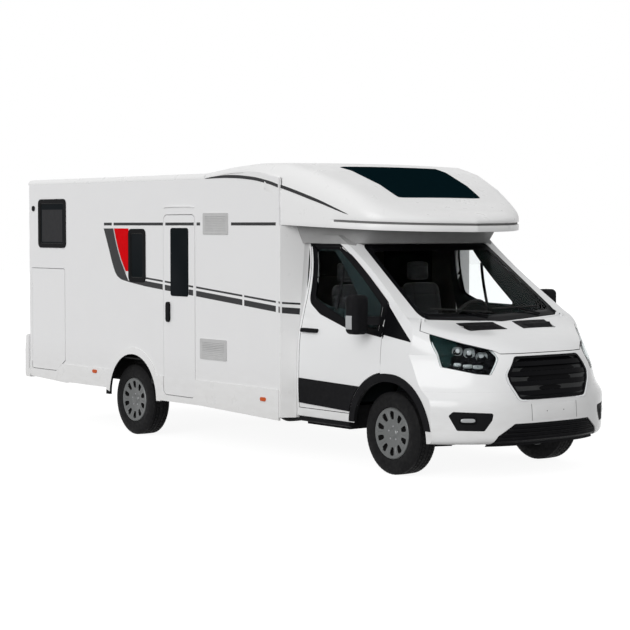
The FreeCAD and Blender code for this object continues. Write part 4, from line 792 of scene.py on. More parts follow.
def fairing_stripes(way, label):
    """Ends of the two lower stripes, pressed onto the slanting panel behind the cab."""
    x = np.linspace(1.134, 1.2135, 9)
    share = (x - x[0]) / (x[-1] - x[0])
    bands = (("lower", 1.4190 - 0.018 * share, 1.3635 - 0.020 * share),
             ("thin", 1.4655 - 0.015 * share, 1.4475 - 0.015 * share))
    for kind, top, low in bands:
        flat = on_side(x[:, None], between(low, top, 3), way, 0.0, ["front_fairings"], 1.4)
        outward = np.array([0.0, way, 0.0])
        name = "%s_stripe_end_%s" % (kind, label)
        slab(name, flat + outward * FILM_LIFT, flat + outward * 0.0002, stripe_grey, "body")


def cap_arc(way, label):
    """Slim curved stripe over the cap's side: thickest in the middle, drawn out to points at both ends."""
    x = np.linspace(-0.050, 1.900, 90)
    middle = np.interp(x, [-0.05, 0.10, 0.30, 0.52, 0.76, 1.0, 1.30, 1.60, 1.90],
                       [2.611, 2.620, 2.625, 2.617, 2.595, 2.552, 2.471, 2.374, 2.258])
    blur = np.hanning(13)
    padded = np.pad(middle, 6, mode="reflect", reflect_type="odd")
    middle = np.convolve(padded, blur / blur.sum(), mode="valid")
    half = 0.0145 * np.clip(np.sin(np.pi * np.linspace(0, 1, 90)) * 1.6, 0, 1) ** 0.6
    t = np.linspace(-1, 1, 5)[None, :]
    z = middle[:, None] + half[:, None] * t + 0.0005 * t
    flat = on_side(x[:, None], z, way, 0.0, [cap.data, "side_wall_" + label, "roof"], 1.4)
    outward = np.array([0.0, way, 0.0])
    slab("cap_arc_" + label, flat + outward * 0.0035, flat + outward * 0.0002, stripe_grey, "body")


for draw in (side_stripes, side_sweep, fairing_stripes, cap_arc):
    for way, label in SIDES:
        draw(way, label)


# Windows, doors and vents on the sides


def ring_plate(name, outer, inner, place, depth, material, body, count=120):
    """Flat ring between two outlines; place(u, v, lift) carries it onto its surface."""
    outer, inner = resample(outer, count), resample(inner, count)
    shift = np.argmin(np.linalg.norm(inner - outer[0], axis=1))
    inner = np.roll(inner, -shift, axis=0)
    t = np.linspace(0, 1, 3)[None, :, None]
    grid = outer[:, None] * (1 - t) + inner[:, None] * t
    grid = np.concatenate([grid, grid[:1]], axis=0)
    front, back = place(grid[..., 0], grid[..., 1], depth), place(grid[..., 0], grid[..., 1], 0.0002)
    return slab(name, front, back, material, body)


def box_outline(x0, x1, z0, z1, inset, bend):
    """Rounded rectangle, drawn in by inset on every side."""
    x0, x1, z0, z1 = x0 + inset, x1 - inset, z0 + inset, z1 - inset
    return rounded([(x0, z0, bend), (x1, z0, bend), (x1, z1, bend), (x0, z1, bend)])


blind_grey = plain("blind_grey", (0.034, 0.034, 0.036), 0.5, grain=30.0, depth=0.0001, gloss=0.03)
BEDROOM = (-3.298, -2.699, 1.916, 2.447)
DINETTE = (-1.437, -1.115, 1.583, 2.126)
KITCHEN = (-1.500, -0.700, 1.583, 2.126)
LOUNGE = (-0.150, 0.650, 1.500, 2.126)


def window_seals(way, label, windows):
    """Seal round each window, and the drawn blind behind the first one."""
    for number, window in enumerate(windows):
        ring_plate("window_seal_%s_%d" % (label, number), box_outline(*window, 0.043, 0.03),
                   box_outline(*window, 0.051, 0.026), lambda u, v, lift: along_side(u, v, way, lift),
                   0.004, black_rubber, "body")
    x0, x1, z0, z1 = windows[0]
    x, z = np.meshgrid([x0 + 0.075, x1 - 0.080], [z0 + 0.065, z1 - 0.115], indexing="ij")
    slab("window_blind_%s_0" % label, along_side(x, z, way, 0.0010), along_side(x, z, way, 0.0002),
         blind_grey, "body")


window_seals(-1, "right", [BEDROOM, DINETTE])
window_seals(1, "left", [BEDROOM, KITCHEN, LOUNGE])


def louvres(x0, x1, z0, z1, number, blades):
    """Vent grille: each blade is a slat whose section leans out towards its lower edge."""
    pitch = (z1 - z0 - 0.03) / blades
    for blade in range(blades):
        foot = z0 + 0.015 + blade * pitch
        height = np.array([foot, foot + pitch * 0.35, foot + pitch * 0.9])
        lift = np.array([0.0085, 0.0070, 0.0012])
        front = along_side(np.array([[x0 + 0.018], [x1 - 0.018]]), height[None, :], -1, lift)
        back = front + np.array([0.0, 0.004, 0.0015])
        slab("vent_%d_blade_%02d" % (number, blade), front, back, louvre_grey, "body")


louvres(-0.088, 0.329, 2.073, 2.280, 0, 11)
louvres(-0.142, 0.302, 0.867, 1.066, 1, 10)


def gutter():
    """Rain gutter over the entrance door: a slim lip with drooping ends."""
    share = np.linspace(0, 1, 30)
    z = 2.345 - 0.010 * np.abs(2 * share - 1) ** 6
    tube("door_gutter", along_side(-0.770 + 0.520 * share, z, -1, 0.006), 0.0055, white_gelcoat, "body")


gutter()


# Front of the cab

AHEAD_OF_NOSE = 4.2


def on_front(y, z, lift, nodes):
    """Front-view places (y, z) pressed onto the nose, lift metres forward."""
    points = skin(xyz(AHEAD_OF_NOSE, y, z), nodes, "x", -1)
    points[..., 0] += lift
    return points


def screen_frit():
    """Black printed border on the inside edge of the windscreen, wider along the top."""
    outer = rounded([(-0.757, 1.989, 0.05), (-0.829, 1.355, 0.07), (0.0, 1.319, 0.0), (0.829, 1.355, 0.07),
                     (0.757, 1.989, 0.05)])
    inner = rounded([(-0.715, 1.930, 0.05), (-0.785, 1.398, 0.07), (0.0, 1.375, 0.0), (0.785, 1.398, 0.07),
                     (0.715, 1.930, 0.05)])
    ring_plate("screen_frit", outer, inner, lambda u, v, lift: on_front(u, v, lift, ["windscreen"]), 0.0012,
               black_gloss, "body", count=160)


screen_frit()


def door_frits(way, label):
    """Black surround of a cab door window, from the sill line up over the top of the door.
    A strip carries it on over the pillar."""
    outer = rounded([(1.260, 1.985, 0.02), (1.284, 1.462, 0.12), (1.480, 1.356, 0.10), (1.890, 1.248, 0.2),
                     (2.391, 1.190, 0.01), (2.394, 1.500, 0.01), (1.700, 1.985, 0.05)])
    inner = rounded([(1.326, 1.944, 0.04), (1.356, 1.506, 0.06), (1.572, 1.420, 0.09), (1.896, 1.314, 0.12),
                     (2.306, 1.254, 0.014), (2.306, 1.466, 0.014), (1.642, 1.944, 0.05)])
    door = "cab_door_" + label
    ring_plate("door_frit_" + label, outer, inner,
               lambda u, v, lift: on_side(u, v, way, lift, [door, "cab_door_glass_" + label]),
               0.0012, black_gloss, door, count=160)
    u, v = np.meshgrid([2.3955, 2.4120], np.linspace(1.196, 1.478, 9), indexing="ij")
    ends = np.array([2.380, 2.425])[:, None]
    edge = on_side(ends, v, way, 0.0012, ["cab_shell", door, "quarter_panels"])
    share = ((u - ends[0]) / (ends[1] - ends[0]))[..., None]
    flat = edge[:1] * (1 - share) + edge[1:] * share
    flat[..., 0] = u + SHIFT
    slab("pillar_strip_" + label, flat + [0, way * 0.0015, 0], flat - [0, way * 0.002, 0],
         black_gloss, "body")


for way, label in SIDES:
    door_frits(way, label)


# Lamps


def outer_patch(name, way):
    """Outer skin of one side's lamp, read from its solid: the faces that look ahead."""
    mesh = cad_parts[name].data
    centres, normals = faces_of(name)
    chosen = (normals[:, 0] > 0.04) | (normals[:, 1] * way > 0.2) | (normals[:, 2] > 0.3)
    chosen &= (normals[:, 0] > -0.5) & (centres[:, 1] * way > 0)
    return read(mesh.vertices, "co")[read(mesh.polygons, "vertices", 3, np.int32)[chosen]]


COVER_WALL, HOUSING_WALL = 0.0022, 0.0015
LAMP_REAR, LAMP_RUN, TEAL_FRONT = 2.90, 0.20, 3.045


def headlamp(way, label):
    """Clear cover over a dark housing: the cover is the solid's own skin, the housing that skin sunk in."""
    patch = outer_patch("headlamps", way)
    faces = np.arange(len(patch) * 3).reshape(-1, 3).tolist()
    cover = piece("headlamp_cover_" + label, patch, faces, lamp_glass, "body", corner=50.0)
    work = bmesh.new()
    work.from_mesh(cover.data)
    deep = bmesh.ops.extrude_face_region(work, geom=work.faces[:])["geom"]
    verts = {part for part in deep if isinstance(part, bmesh.types.BMVert)}
    for vert in verts:
        share = min(max((vert.co.x - SHIFT - LAMP_REAR) / LAMP_RUN, 0.0), 1.0)
        vert.co += Vector((-0.036 * share, -0.020 * way, -0.002))
    kept = {part for part in deep if isinstance(part, bmesh.types.BMFace)}
    gone = [face for face in work.faces if face not in kept and verts.isdisjoint(face.verts)]
    bmesh.ops.delete(work, geom=gone, context="FACES_ONLY")
    bmesh.ops.recalc_face_normals(work, faces=work.faces)
    mesh = bpy.data.meshes.new("headlamp_housing_" + label)
    work.to_mesh(mesh)
    work.free()
    cut_smooth(mesh, 40)
    mesh.materials.append(black_gloss)
    mesh.materials.append(smoked_teal)
    teal = read(mesh.polygons, "center")[:, 0] < TEAL_FRONT + SHIFT
    mesh.polygons.foreach_set("material_index", teal.astype(np.int32))
    housing = linked(mesh.name, mesh)
    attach(housing, "body")
    wall(cover, COVER_WALL)
    wall(housing, HOUSING_WALL)
    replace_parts(cover, "headlamps")


def facing_rings(centre, ahead, size, share, rise, square, count):
    """Rings of a superellipse that face a direction: each has its share of the size and its rise."""
    ahead = np.array(ahead, dtype=float)
    ahead /= np.linalg.norm(ahead)
    across = np.cross([0.0, 0.0, 1.0], ahead)
    across /= np.linalg.norm(across)
    over = np.cross(ahead, across)
    turn = np.linspace(0, 2 * np.pi, count, endpoint=False)
    c, s = np.cos(turn), np.sin(turn)
    h = np.sign(c) * np.abs(c) ** (2 / square) * size[0] / 2
    v = np.sign(s) * np.abs(s) ** (2 / square) * size[1] / 2
    share, rise = share[:, None], rise[:, None] + 0 * turn
    rings = np.array(centre) + (share * h)[..., None] * across + (share * v)[..., None] * over
    return rings + rise[..., None] * ahead, ahead


def bowl(name, centre, ahead, size, depth, material, square=2.6):
    """Reflector: rings that sink as a paraboloid towards the middle, with a thin wall."""
    ring = np.linspace(1.0, 0.0, 10)
    inner, ahead = facing_rings(centre, ahead, size, ring, -depth * (1 - ring ** 2), square, 40)
    outer = inner[::-1] - ahead * 0.0015 + (inner[::-1] - np.array(centre)) * 0.02
    points = np.concatenate([inner, outer])
    return piece(name, points, grid_faces(len(points), 40, True, True), material, "body", corner=30.0)


DOME_SHARE = np.array([0.0, 0.98, 1.0, 1.0, 0.985, 0.93, 0.8, 0.55, 0.0])
DOME_RISE = np.array([-0.4, -0.4, -0.36, 0.0, 0.25, 0.5, 0.75, 0.93, 1.0])


def dome(name, centre, ahead, size, height, material, body="body", square=2.4):
    """Lens or knob: rings that rise as a quarter ellipse, closed by a flat back."""
    points = facing_rings(centre, ahead, size, DOME_SHARE, DOME_RISE * height, square, 32)[0]
    return piece(name, points, grid_faces(len(points), 32, False, True), material, body, corner=40.0)


LAMP_CELLS = (("a", (3.082, 0.762, 1.098), (0.62, 0.78, 0.0), (0.088, 0.074)),
              ("b", (3.158, 0.694, 1.084), (0.74, 0.67, 0.0), (0.096, 0.080)),
              ("c", (3.232, 0.616, 1.054), (0.84, 0.54, 0.0), (0.100, 0.076)))
LAMP_STRIPS = (("a", (3.112, 0.788, 0.985), (0.66, 0.75, 0.0), (0.064, 0.034)),
               ("b", (3.178, 0.728, 0.974), (0.75, 0.66, 0.0), (0.084, 0.036)),
               ("c", (3.240, 0.668, 0.968), (0.82, 0.57, 0.0), (0.088, 0.036)))
FOG_LAMP = (3.270, 0.806, 0.529)


def lamps(way, label):
    """One side's headlamp with its cells and strips, and the fog lamp's rim and lens."""
    headlamp(way, label)
    for rows, strip in ((LAMP_CELLS, False), (LAMP_STRIPS, True)):
        for letter, (x, y, z), ahead, size in rows:
            ahead = np.array(ahead) * [1, way, 1]
            spot = np.array([x + SHIFT, y * way, z]) - ahead * 0.012
            if strip:
                dome("lamp_strip_%s_%s" % (letter, label), spot, ahead, size, 0.006, reflector, square=3.5)
                continue
            bowl("lamp_cell_%s_%s" % (letter, label), spot, ahead, size, 0.022, reflector)
            lens = (size[0] * 0.45, size[1] * 0.55)
            dome("lamp_lens_%s_%s" % (letter, label), spot - ahead * 0.018, ahead, lens, 0.012, pale_lens)
    x, y, z = FOG_LAMP
    ahead = np.array([0.78, 0.62 * way, 0.02])
    flat = skin([[x + SHIFT + 0.3, y * way, z]], ["fog_lamps"], "x", -1)[0]
    dome("fog_bezel_" + label, flat, ahead, (0.150, 0.066), 0.007, black_gloss, square=4.0)
    dome("fog_lens_" + label, flat + ahead * 0.006, ahead, (0.122, 0.034), 0.005, pale_lens, square=3.5)


for way, label in SIDES:
    lamps(way, label)


# Grille, bumper and bonnet


GRILLE_SHAPE = [(-0.375, 1.066, 0.085), (0.375, 1.066, 0.085), (0.484, 0.905, 0.08), (0.470, 0.835, 0.08),
                (0.385, 0.690, 0.06), (-0.385, 0.690, 0.06), (-0.470, 0.835, 0.08), (-0.484, 0.905, 0.08)]
GRILLE_MIDDLE, GRILLE_FOOT, GRILLE_HEIGHT, GRILLE_BARS = 0.875, 0.690, 0.376, 5.0


def grille_outline(wide, high):
    """Outline of the grille, scaled about its middle."""
    middle = GRILLE_MIDDLE
    return rounded([(y * wide, middle + (z - middle) * high, bend) for y, z, bend in GRILLE_SHAPE])


def nose_depth():
    """Smooth surface over the nose, x from y and z: a low polynomial fitted round the grille."""
    rim = grille_outline(1.10, 1.12)
    y, z = rim[:, 0], np.minimum(rim[:, 1], 1.075)
    x = on_front(y, z, 0.0, ["front_bumper", "bonnet", "cab_shell"])[:, 0]

    def terms(y, z):
        return np.stack([np.ones(y.shape), z, y ** 2, z ** 2, z * y ** 2, y ** 4], axis=-1)
    factors = np.linalg.lstsq(terms(y, z), x, rcond=None)[0]
    return lambda y, z: terms(y, z) @ factors


def grille_surround():
    """Black face of the grille with five rounded bars across it, and a bright rim round its edge."""
    depth = nose_depth()

    def place(u, v, lift):
        return xyz(depth(u, v) + lift, u, v)
    ring_plate("grille_surround", grille_outline(1.030, 1.045), grille_outline(0.992, 0.985), place, 0.007,
               bright_trim, "body", count=220)
    rim = resample(grille_outline(1.0, 1.0), 240)
    share = np.linspace(0.0, 1.0, 60)[:, None]
    y, z = rim[None, :, 0] * share, GRILLE_MIDDLE + (rim[None, :, 1] - GRILLE_MIDDLE) * share
    wave = np.abs(np.cos((z - GRILLE_FOOT) / GRILLE_HEIGHT * math.pi * GRILLE_BARS)) ** 0.7
    lift = 0.003 - 0.012 * np.clip((1 - share) / 0.05, 0, 1) * wave
    points = np.concatenate([place(y, z, lift), place(y, z, -0.016)[::-1]])
    faces = grid_faces(len(points), 240, True, True)
    piece("grille_face", points, faces, grille_black, "body", corner=60.0)


def nose_slab(name, across, up, nodes, material, lift, sink=0.002, **options):
    """Slab on the nose over a grid of places; lift is its height there and sink its depth."""
    y, z = np.meshgrid(across, up, indexing="ij")
    face = on_front(y, z, 0.0, nodes)
    front = face + np.broadcast_to(lift, y.shape)[..., None] * np.array([1.0, 0, 0])
    slab(name, front, face - [sink, 0, 0], material, "body", **options)


def plate_place():
    """Blank carrier for a number plate, with its two fixing holes."""
    nodes = ["front_bumper"]
    rim = np.full((24, 4), 0.004)
    rim[[0, -1]] = 0.0012
    rim[:, [0, -1]] = 0.0012
    nose_slab("plate_carrier", np.linspace(-0.262, 0.262, 24), np.linspace(0.520, 0.646, 4), nodes,
              white_lacquer, rim, corner=60.0)
    # Painted shade: thin grey lines along the carrier's two ends.
    for side in (-1, 1):
        nose_slab("plate_seam_shade_%d" % (side + 1), side * 0.268 + np.array([-0.002, 0.002]),
                  np.linspace(0.512, 0.655, 6), nodes, groove_painted_shade, 0.0012, 0.0)
    for number, spot in enumerate((-0.1, 0.1)):
        at = on_front(np.array([spot]), 0.586, 0.0038, nodes)[0]
        dome("plate_hole_%d" % number, at, (1.0, 0.0, 0.0), (0.010, 0.010), 0.0006, black_plastic)


def intake_slats():
    """Slats across the lower intake, thicker towards their lower edge."""
    for number, (height, half) in enumerate(((0.458, 0.455), (0.424, 0.50), (0.390, 0.55), (0.350, 0.575))):
        nose_slab("intake_slat_%d" % number, np.linspace(-half, half, 40),
                  height + np.array([-0.009, -0.004, 0.004, 0.009]), ["lower_intake"], black_gloss,
                  np.array([0.003, 0.010, 0.009, 0.003]), corner=50.0)


ABOVE_BONNET = 1.6
VENT_REAR, VENT_FRONT = (2.840, 0.118, 0.535), (3.004, 0.100, 0.515)


def bonnet_vents(way, label):
    """Black air vent, four-sided in plan, pressed onto the bonnet."""
    t, s = unit_grid(9, 19)
    (rear, rear_in, rear_out), (front, front_in, front_out) = VENT_REAR, VENT_FRONT
    u = rear + (front - rear) * t - 0.020 * s
    y = way * ((rear_in * (1 - t) + front_in * t) * (1 - s) + (rear_out * (1 - t) + front_out * t) * s)
    flat = skin(xyz(u + SHIFT, y, ABOVE_BONNET), ["bonnet"], "z", -1)
    slab("vent_insert_" + label, flat + [0, 0, 0.0036], flat - [0, 0, 0.001], black_plastic, "bonnet",
         corner=60.0)


WIPERS = ((-0.66, 1.440, -0.02, 1.395, -0.10), (0.02, 1.425, 0.62, 1.430, 0.56))
WIPER_FOOT = 1.368


def wipers():
    """Two wipers at rest on the foot of the windscreen: blade, arm and pivot."""
    for number, (y0, z0, y1, z1, pivot) in enumerate(WIPERS):
        share = np.linspace(0, 1, 24)
        blade = on_front(y0 + (y1 - y0) * share, z0 + (z1 - z0) * share, 0.010, ["windscreen"])
        tube("wiper_blade_%d" % number, blade, 0.007, black_rubber, "body")
        reach = np.linspace(0, 1, 12)
        across = pivot + ((y0 + y1) / 2 - pivot) * reach
        up = WIPER_FOOT + ((z0 + z1) / 2 - WIPER_FOOT) * reach
        arm = on_front(across, up, 0.020, ["windscreen", "bonnet", "cab_shell"])
        tube("wiper_arm_%d" % number, arm, np.linspace(0.009, 0.006, 12), black_plastic, "body")


grille_surround()
plate_place()
intake_slats()
for way, label in SIDES:
    bonnet_vents(way, label)
wipers()


# Mirrors

BEHIND_MIRROR = 1.9


def mirror_parts(way, label):
    """Clear indicator lens on the outer face and a silvered glass at the back."""
    t, s = unit_grid(12, 12)
    node, body = "door_mirror_" + label, "cab_door_" + label
    bulge = np.abs(2 * t - 1) ** 6 * np.abs(2 * s - 1) ** 6
    flat = on_side(2.168 + 0.092 * t, 1.262 + 0.118 * s, way, 0.0, [node])
    rim = np.clip(np.minimum(np.minimum(t, 1 - t), np.minimum(s, 1 - s)) * 8, 0, 1)[..., None]
    lift = np.array([0.0, way, 0.0]) * (0.0006 + 0.004 * np.sqrt(1 - (1 - rim) ** 2))
    front = flat + lift * (1 - 0.5 * bulge[..., None])
    slab("mirror_lens_" + label, front, flat - [0, way * 0.001, 0], pale_lens, body)
    y, z = way * (1.100 + 0.115 * t), 1.245 + 0.286 * s
    back = skin(xyz(BEHIND_MIRROR + SHIFT, y, z), [node], "x", 1)
    slab("mirror_glass_" + label, back - [0.0012, 0, 0], back + [0.001, 0, 0], bright_trim, body)


for way, label in SIDES:
    mirror_parts(way, label)


# Wheels and tyres

TYRE_HALF, TREAD_HALF = 0.1125, 0.088
TRIM_SLOTS = 10


def round_axle(centre, radius, angle, along):
    """Places round the axle through a centre: their radius, their angle and their distance along it."""
    return xyz(centre[0] + radius * np.cos(angle), centre[1] + along, centre[2] + radius * np.sin(angle))


def tyre(name, centre, body):
    """Tyre: a closed section swept round the axle. Its tread drops in four rings and in slanting cuts."""
    section = np.array([(0.0878, 0.2120), (0.0878, 0.2265), (0.1030, 0.2300), (0.1065, 0.2380),
                        (0.1088, 0.2460), (0.1100, 0.2620), (0.1125, 0.2700), (0.1125, 0.2870),
                        (0.1112, 0.3000), (0.1094, 0.3120), (0.1080, 0.3200), (0.1050, 0.3320),
                        (0.1000, 0.3440), (0.0930, 0.3530)])
    across = np.linspace(TREAD_HALF, -TREAD_HALF, 57)
    crown = np.stack([across, TYRE_RADIUS - 0.0035 * (across / TYRE_HALF) ** 2], axis=-1)
    inner = np.array([(-0.070, 0.2120), (0.070, 0.2120)])
    profile = np.concatenate([section, crown, section[::-1] * [-1, 1], inner])
    turns = 360
    angle = np.linspace(0, 2 * np.pi, turns, endpoint=False)[:, None]
    y, radius = profile[None, :, 0], profile[None, :, 1]
    tread = (np.abs(y) <= TREAD_HALF + 0.0001) & (radius > 0.35)
    rings = np.zeros(y.shape)
    for groove in (-0.058, -0.020, 0.020, 0.058):
        rings = np.maximum(rings, np.clip(1.6 - np.abs(y - groove) / 0.0032, 0, 1))
    wave = np.sin(60 * angle + np.sign(y) * 0.9 * np.abs(y) / 0.02)
    shoulder = (np.abs(y) > 0.058) & (radius > 0.345)
    cuts = np.clip(wave * 3 - 1.7, 0, 1) * (np.abs(np.abs(y) - 0.039) < 0.016)
    cuts = np.maximum(cuts, 0.35 * np.clip(np.sin(60 * angle) * 3 - 2.0, 0, 1) * shoulder)
    depth = np.where(tread | shoulder, np.maximum(rings * tread * 0.008, cuts * 0.006), 0.0)
    radius = radius - depth
    return piece(name, round_axle(centre, radius, angle, y), grid_faces(turns, len(profile), True, True),
                 tyre_rubber, body, corner=35.0)


def wheel_trim(name, centre, way, body):
    """Trim over the wheel: a dished polar grid whose height drops in ten slots between the spokes.
    The slots' floors are painted near black: painted shade in place of openings. A hub cap and bolts stand on
    it."""
    hub, rim = np.linspace(0.0, 0.10, 14), np.linspace(0.106, 0.210, 36)
    ring = np.concatenate([hub, rim, [0.2165, 0.2200, 0.2210]])[:, None]
    turn = np.linspace(0, 2 * np.pi, 300, endpoint=False)[None, :]
    height = np.interp(ring, [0.0, 0.035, 0.045, 0.075, 0.11, 0.16, 0.195, 0.2165, 0.2210],
                       [0.098, 0.097, 0.088, 0.086, 0.094, 0.1005, 0.1040, 0.1065, 0.1010]) + 0 * turn
    pitch = 2 * np.pi / TRIM_SLOTS
    phase = (turn * TRIM_SLOTS / (2 * np.pi)) % 1.0 - 0.5
    sideways = phase * pitch * ring
    reach = (ring - 0.157) / 0.036
    width = 0.0215 + 0.006 * reach
    inside = 1 - np.maximum(np.abs(reach) ** 4 + np.abs(sideways / width) ** 4, 0)
    drop = np.clip(inside * 3.2, 0, 1)
    groove = np.exp(-((np.abs(phase) - 0.5) * pitch * ring / 0.004) ** 2) * (ring > 0.12) * (ring < 0.198)
    height = height - 0.020 * drop - 0.004 * groove
    front = round_axle(centre, ring, turn, way * height)
    back = front.copy()
    back[..., 1] = centre[1] + way * 0.079
    points = np.concatenate([front, back[::-1]])
    made = piece(name, points, grid_faces(len(points), 300, True, True), silver_paint, body, corner=28.0)
    made.data.materials.append(slot_painted_shade)
    middle = read(made.data.polygons, "center") - centre
    radius = np.hypot(middle[:, 0], middle[:, 2])
    level = np.interp(radius, [0.11, 0.16, 0.195], [0.094, 0.1005, 0.1035])
    sunk = (way * middle[:, 1] < level - 0.006) & (radius > 0.12) & (radius < 0.195)
    made.data.polygons.foreach_set("material_index", sunk.astype(np.int32))
    for number in range(5):
        spot = round_axle(centre, 0.060, 2 * math.pi * (number + 0.25) / 5, way * 0.086)
        dome("%s_bolt_%d" % (name, number), spot, (0.0, way, 0.0), (0.017, 0.017), 0.006, zinc_grey, body,
             square=3.0)


TRACKS = {"front": 1.732 / 2, "rear": 1.975 / 2}
for end, axle in (("front", FRONT_AXLE), ("rear", REAR_AXLE)):
    for way, label in SIDES:
        place = "%s_%s" % (end, label)
        hub = (axle, way * TRACKS[end], TYRE_RADIUS)
        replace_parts(tyre("rubber_" + place, hub, "wheel_" + place), "tyre_" + place)
        wheel_trim("wheel_trim_" + place, hub, way, "wheel_" + place)


# Padded seats

SWELL = 0.008


def pad_form(middle, size, lean, power=0.30):
    """Closed box with full corners: a superellipsoid of the pad's size, sheared back by lean."""
    across, along = 72, 44
    u = np.linspace(0, 2 * np.pi, across, endpoint=False)[None, :]
    v = np.linspace(-np.pi / 2, np.pi / 2, along)[:, None]

    def soft(value):
        return np.sign(value) * np.abs(value) ** power
    half = np.array(size) / 2 - SWELL * 0.7
    x = half[0] * soft(np.cos(v)) * soft(np.cos(u))
    y = half[1] * soft(np.cos(v)) * soft(np.sin(u))
    z = half[2] * soft(np.sin(v))
    points = xyz(middle[0] + x - lean * z, middle[1] + y, middle[2] + z)
    return points, grid_faces(along, across, False, True)


def baked(pad):
    """Give a pad its evaluated mesh for its own and clear its modifiers."""
    done = bpy.data.meshes.new_from_object(pad.evaluated_get(bpy.context.evaluated_depsgraph_get()))
    pad.modifiers.clear()
    pad.data = done
    return read(done.vertices, "co")


def inflate(pads):
    """Blow the pads up as cloth for twenty frames, then keep each point's move under SWELL."""
    starts = []
    for pad in pads:
        remesh = pad.modifiers.new("remesh", "REMESH")
        remesh.mode = "VOXEL"
        remesh.voxel_size = 0.011
        starts.append(baked(pad))
        cloth = pad.modifiers.new("cloth", "CLOTH")
        cloth.settings.use_pressure = True
        cloth.settings.uniform_pressure_force = 4.0
        cloth.settings.effector_weights.gravity = 0.0
        cloth.settings.quality = 4
    for number in range(1, 21):
        bpy.context.scene.frame_set(number)
    for pad, start in zip(pads, starts):
        move = baked(pad) - start
        size = np.linalg.norm(move, axis=1, keepdims=True)
        move *= np.minimum(1.0, SWELL / np.maximum(size, 1e-9))
        pad.data.vertices.foreach_set("co", (start + move).ravel())
        pad.data.update()
        finer = pad.modifiers.new("finer", "SUBSURF")
        finer.levels = finer.render_levels = 1
        baked(pad)
    bpy.context.scene.frame_set(1)


def sew(pad, seams):
    """Draw the pad in along its seams: a narrow bell across each seam's plane, on the faces that show."""
    points, normals = read(pad.data.vertices, "co"), read(pad.data.vertices, "normal")
    for axis, place in seams:
        bell = np.exp(-((points[:, axis] - place) / 0.007) ** 2)
        points = points - normals * (0.007 * bell)[:, None]
    pad.data.vertices.foreach_set("co", points.ravel())
    pad.data.update()


def seats():
    """Two seats of three pads each: the right ones are shaped, the left ones are their mirror images."""
    forms = (("seat_base", (1.602, -0.430, 0.955), (0.488, 0.480, 0.124), 0.0,
              ((1, -0.570), (1, -0.290), (0, 1.480))),
             ("seat_back", (1.357, -0.430, 1.325), (0.100, 0.462, 0.600), 0.18,
              ((1, -0.565), (1, -0.295), (2, 1.260), (2, 1.500))),
             ("head_rest", (1.272, -0.430, 1.725), (0.088, 0.252, 0.182), 0.0, ((2, 1.770),)))
    pads = []
    for name, middle, size, lean, seams in forms:
        points, faces = pad_form(middle, size, lean)
        pads.append(piece(name + "_right", points, faces, fabric_grey, "body", corner=80.0))
    inflate(pads)
    for pad, (name, middle, size, lean, seams) in zip(pads, forms):
        sew(pad, seams)
        pad.data.shade_smooth()
        points = read(pad.data.vertices, "co") * [1, -1, 1]
        faces = [list(face.vertices)[::-1] for face in pad.data.polygons]
        twin = piece(name + "_left", points, faces, fabric_grey, "body", corner=80.0)
        for made in (pad, twin):
            if not made.data.materials:
                made.data.materials.append(fabric_grey)
            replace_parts(made, "seat_cushions" if name == "seat_base" else "seat_backs")


seats()


# Inside of the cab doors

LINING_DEPTH = 0.034


def door_linings(way, label):
    """Dark lining inside a cab door window, with the bar that parts the small front pane."""
    outer = rounded([(1.276, 1.976, 0.02), (1.290, 1.440, 0.1), (1.520, 1.340, 0.10), (1.890, 1.250, 0.2),
                     (2.366, 1.196, 0.01), (2.366, 1.478, 0.01), (1.688, 1.976, 0.05)])
    inner = rounded([(1.306, 1.930, 0.04), (1.326, 1.500, 0.06), (1.560, 1.430, 0.05), (1.700, 1.420, 0.02),
                     (2.030, 1.412, 0.02), (2.020, 1.440, 0.02), (1.540, 1.930, 0.05)])
    node = "cab_door_" + label

    def place(u, v, lift):
        return on_side(u, v, way, lift - LINING_DEPTH, [node, "cab_door_glass_" + label])
    ring_plate("door_lining_" + label, outer, inner, place, 0.004, lining_teal, node, count=160)
    t, s = np.meshgrid(np.linspace(0, 1, 12), np.array([-1.0, 1.0]), indexing="ij")
    u, v = 1.665 + 0.014 * s, 1.400 + 0.400 * t
    slab("door_bar_" + label, place(u, v, 0.012), place(u, v, 0.0), black_plastic, node)


for way, label in SIDES:
    door_linings(way, label)


# Stage, light and camera


FLOOR_REACH, FLOOR_DROP, FLOOR_GREY, FLOOR_GLOW = 60.0, -0.001, 0.24, 0.92


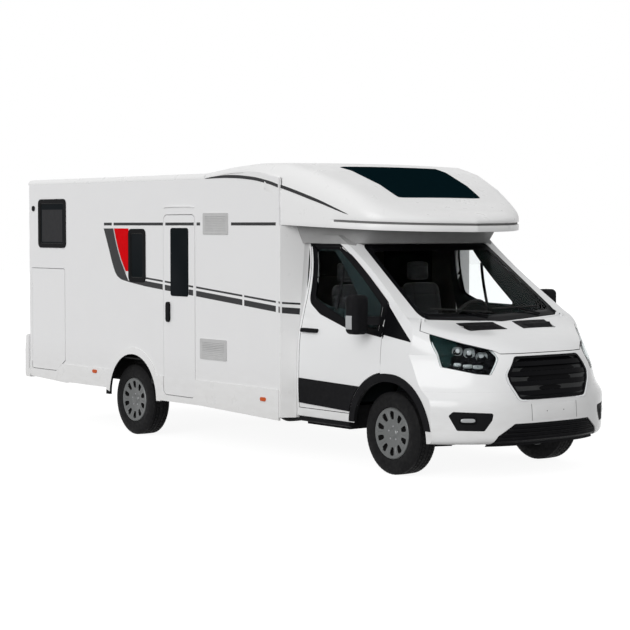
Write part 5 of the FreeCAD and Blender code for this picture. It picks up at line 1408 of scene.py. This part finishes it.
def stage_floor():
    """White floor that keeps the shadow and shows as the white of the background."""
    mesh = bpy.data.meshes.new("floor")
    corners = [(x * FLOOR_REACH, y * FLOOR_REACH, 0) for x, y in ((-1, -1), (1, -1), (1, 1), (-1, 1))]
    mesh.from_pydata(corners, [], [(0, 1, 2, 3)])
    floor = linked("floor", mesh)
    floor.location.z = FLOOR_DROP
    material = bpy.data.materials.new("floor_white")
    material.use_nodes = True
    tree = material.node_tree
    tree.nodes.clear()
    matt = shader_node(tree, "BsdfDiffuse", (FLOOR_GREY, FLOOR_GREY, FLOOR_GREY, 1))
    path = shader_node(tree, "LightPath").outputs
    seen = shader_node(tree, "Math", path["Is Camera Ray"], path["Is Glossy Ray"], operation="MAXIMUM")
    scale = shader_node(tree, "Math", seen.outputs[0], FLOOR_GLOW, operation="MULTIPLY")
    shine = shader_node(tree, "Emission", (1, 1, 1, 1), scale.outputs[0])
    sum_of_both = shader_node(tree, "AddShader", matt.outputs[0], shine.outputs[0])
    shader_node(tree, "OutputMaterial", sum_of_both.outputs[0])
    mesh.materials.append(material)


def world_light(strength):
    """White surroundings that light softly; seen directly they are plain white."""
    world = bpy.data.worlds.new("studio")
    bpy.context.scene.world = world
    world.use_nodes = True
    tree = world.node_tree
    ground = tree.nodes["Background"]
    ground.inputs["Color"].default_value = (1, 1, 1, 1)
    path = shader_node(tree, "LightPath").outputs
    seen = shader_node(tree, "Math", path["Is Camera Ray"], path["Is Transmission Ray"],
                       operation="MAXIMUM")
    clear = shader_node(tree, "Math", seen.outputs[0], path["Is Glossy Ray"], operation="MAXIMUM")
    level = shader_node(tree, "MapRange", clear.outputs[0], 0.0, 1.0, strength, 1.0)
    tree.links.new(level.outputs["Result"], ground.inputs["Strength"])


def sun_light(name, towards, strength, spread):
    """Even light from far away; spread is the width of its source in degrees, which softens the shadows."""
    lamp = bpy.data.lights.new(name, "SUN")
    lamp.energy = strength
    lamp.angle = math.radians(spread)
    x, y, z = towards
    holder = linked(name, lamp)
    holder.rotation_euler = (math.atan2(math.hypot(x, y), z), 0.0, math.atan2(y, x) + math.pi / 2)


def camera():
    lens = bpy.data.cameras.new("camera")
    lens.lens = CAMERA_LENS
    lens.sensor_width = 36.0
    lens.clip_end = 200.0
    holder = linked("camera", lens)
    holder.location = CAMERA_PLACE
    holder.rotation_euler = (math.radians(90 + CAMERA_TILT), 0.0, math.radians(CAMERA_HEADING - 90))
    bpy.context.scene.camera = holder


camera()
stage_floor()
world_light(0.56)
sun_light("key", (0.62, -1.25, 0.42), 1.9, 45.0)
bpy.context.scene.view_settings.view_transform = "Standard"
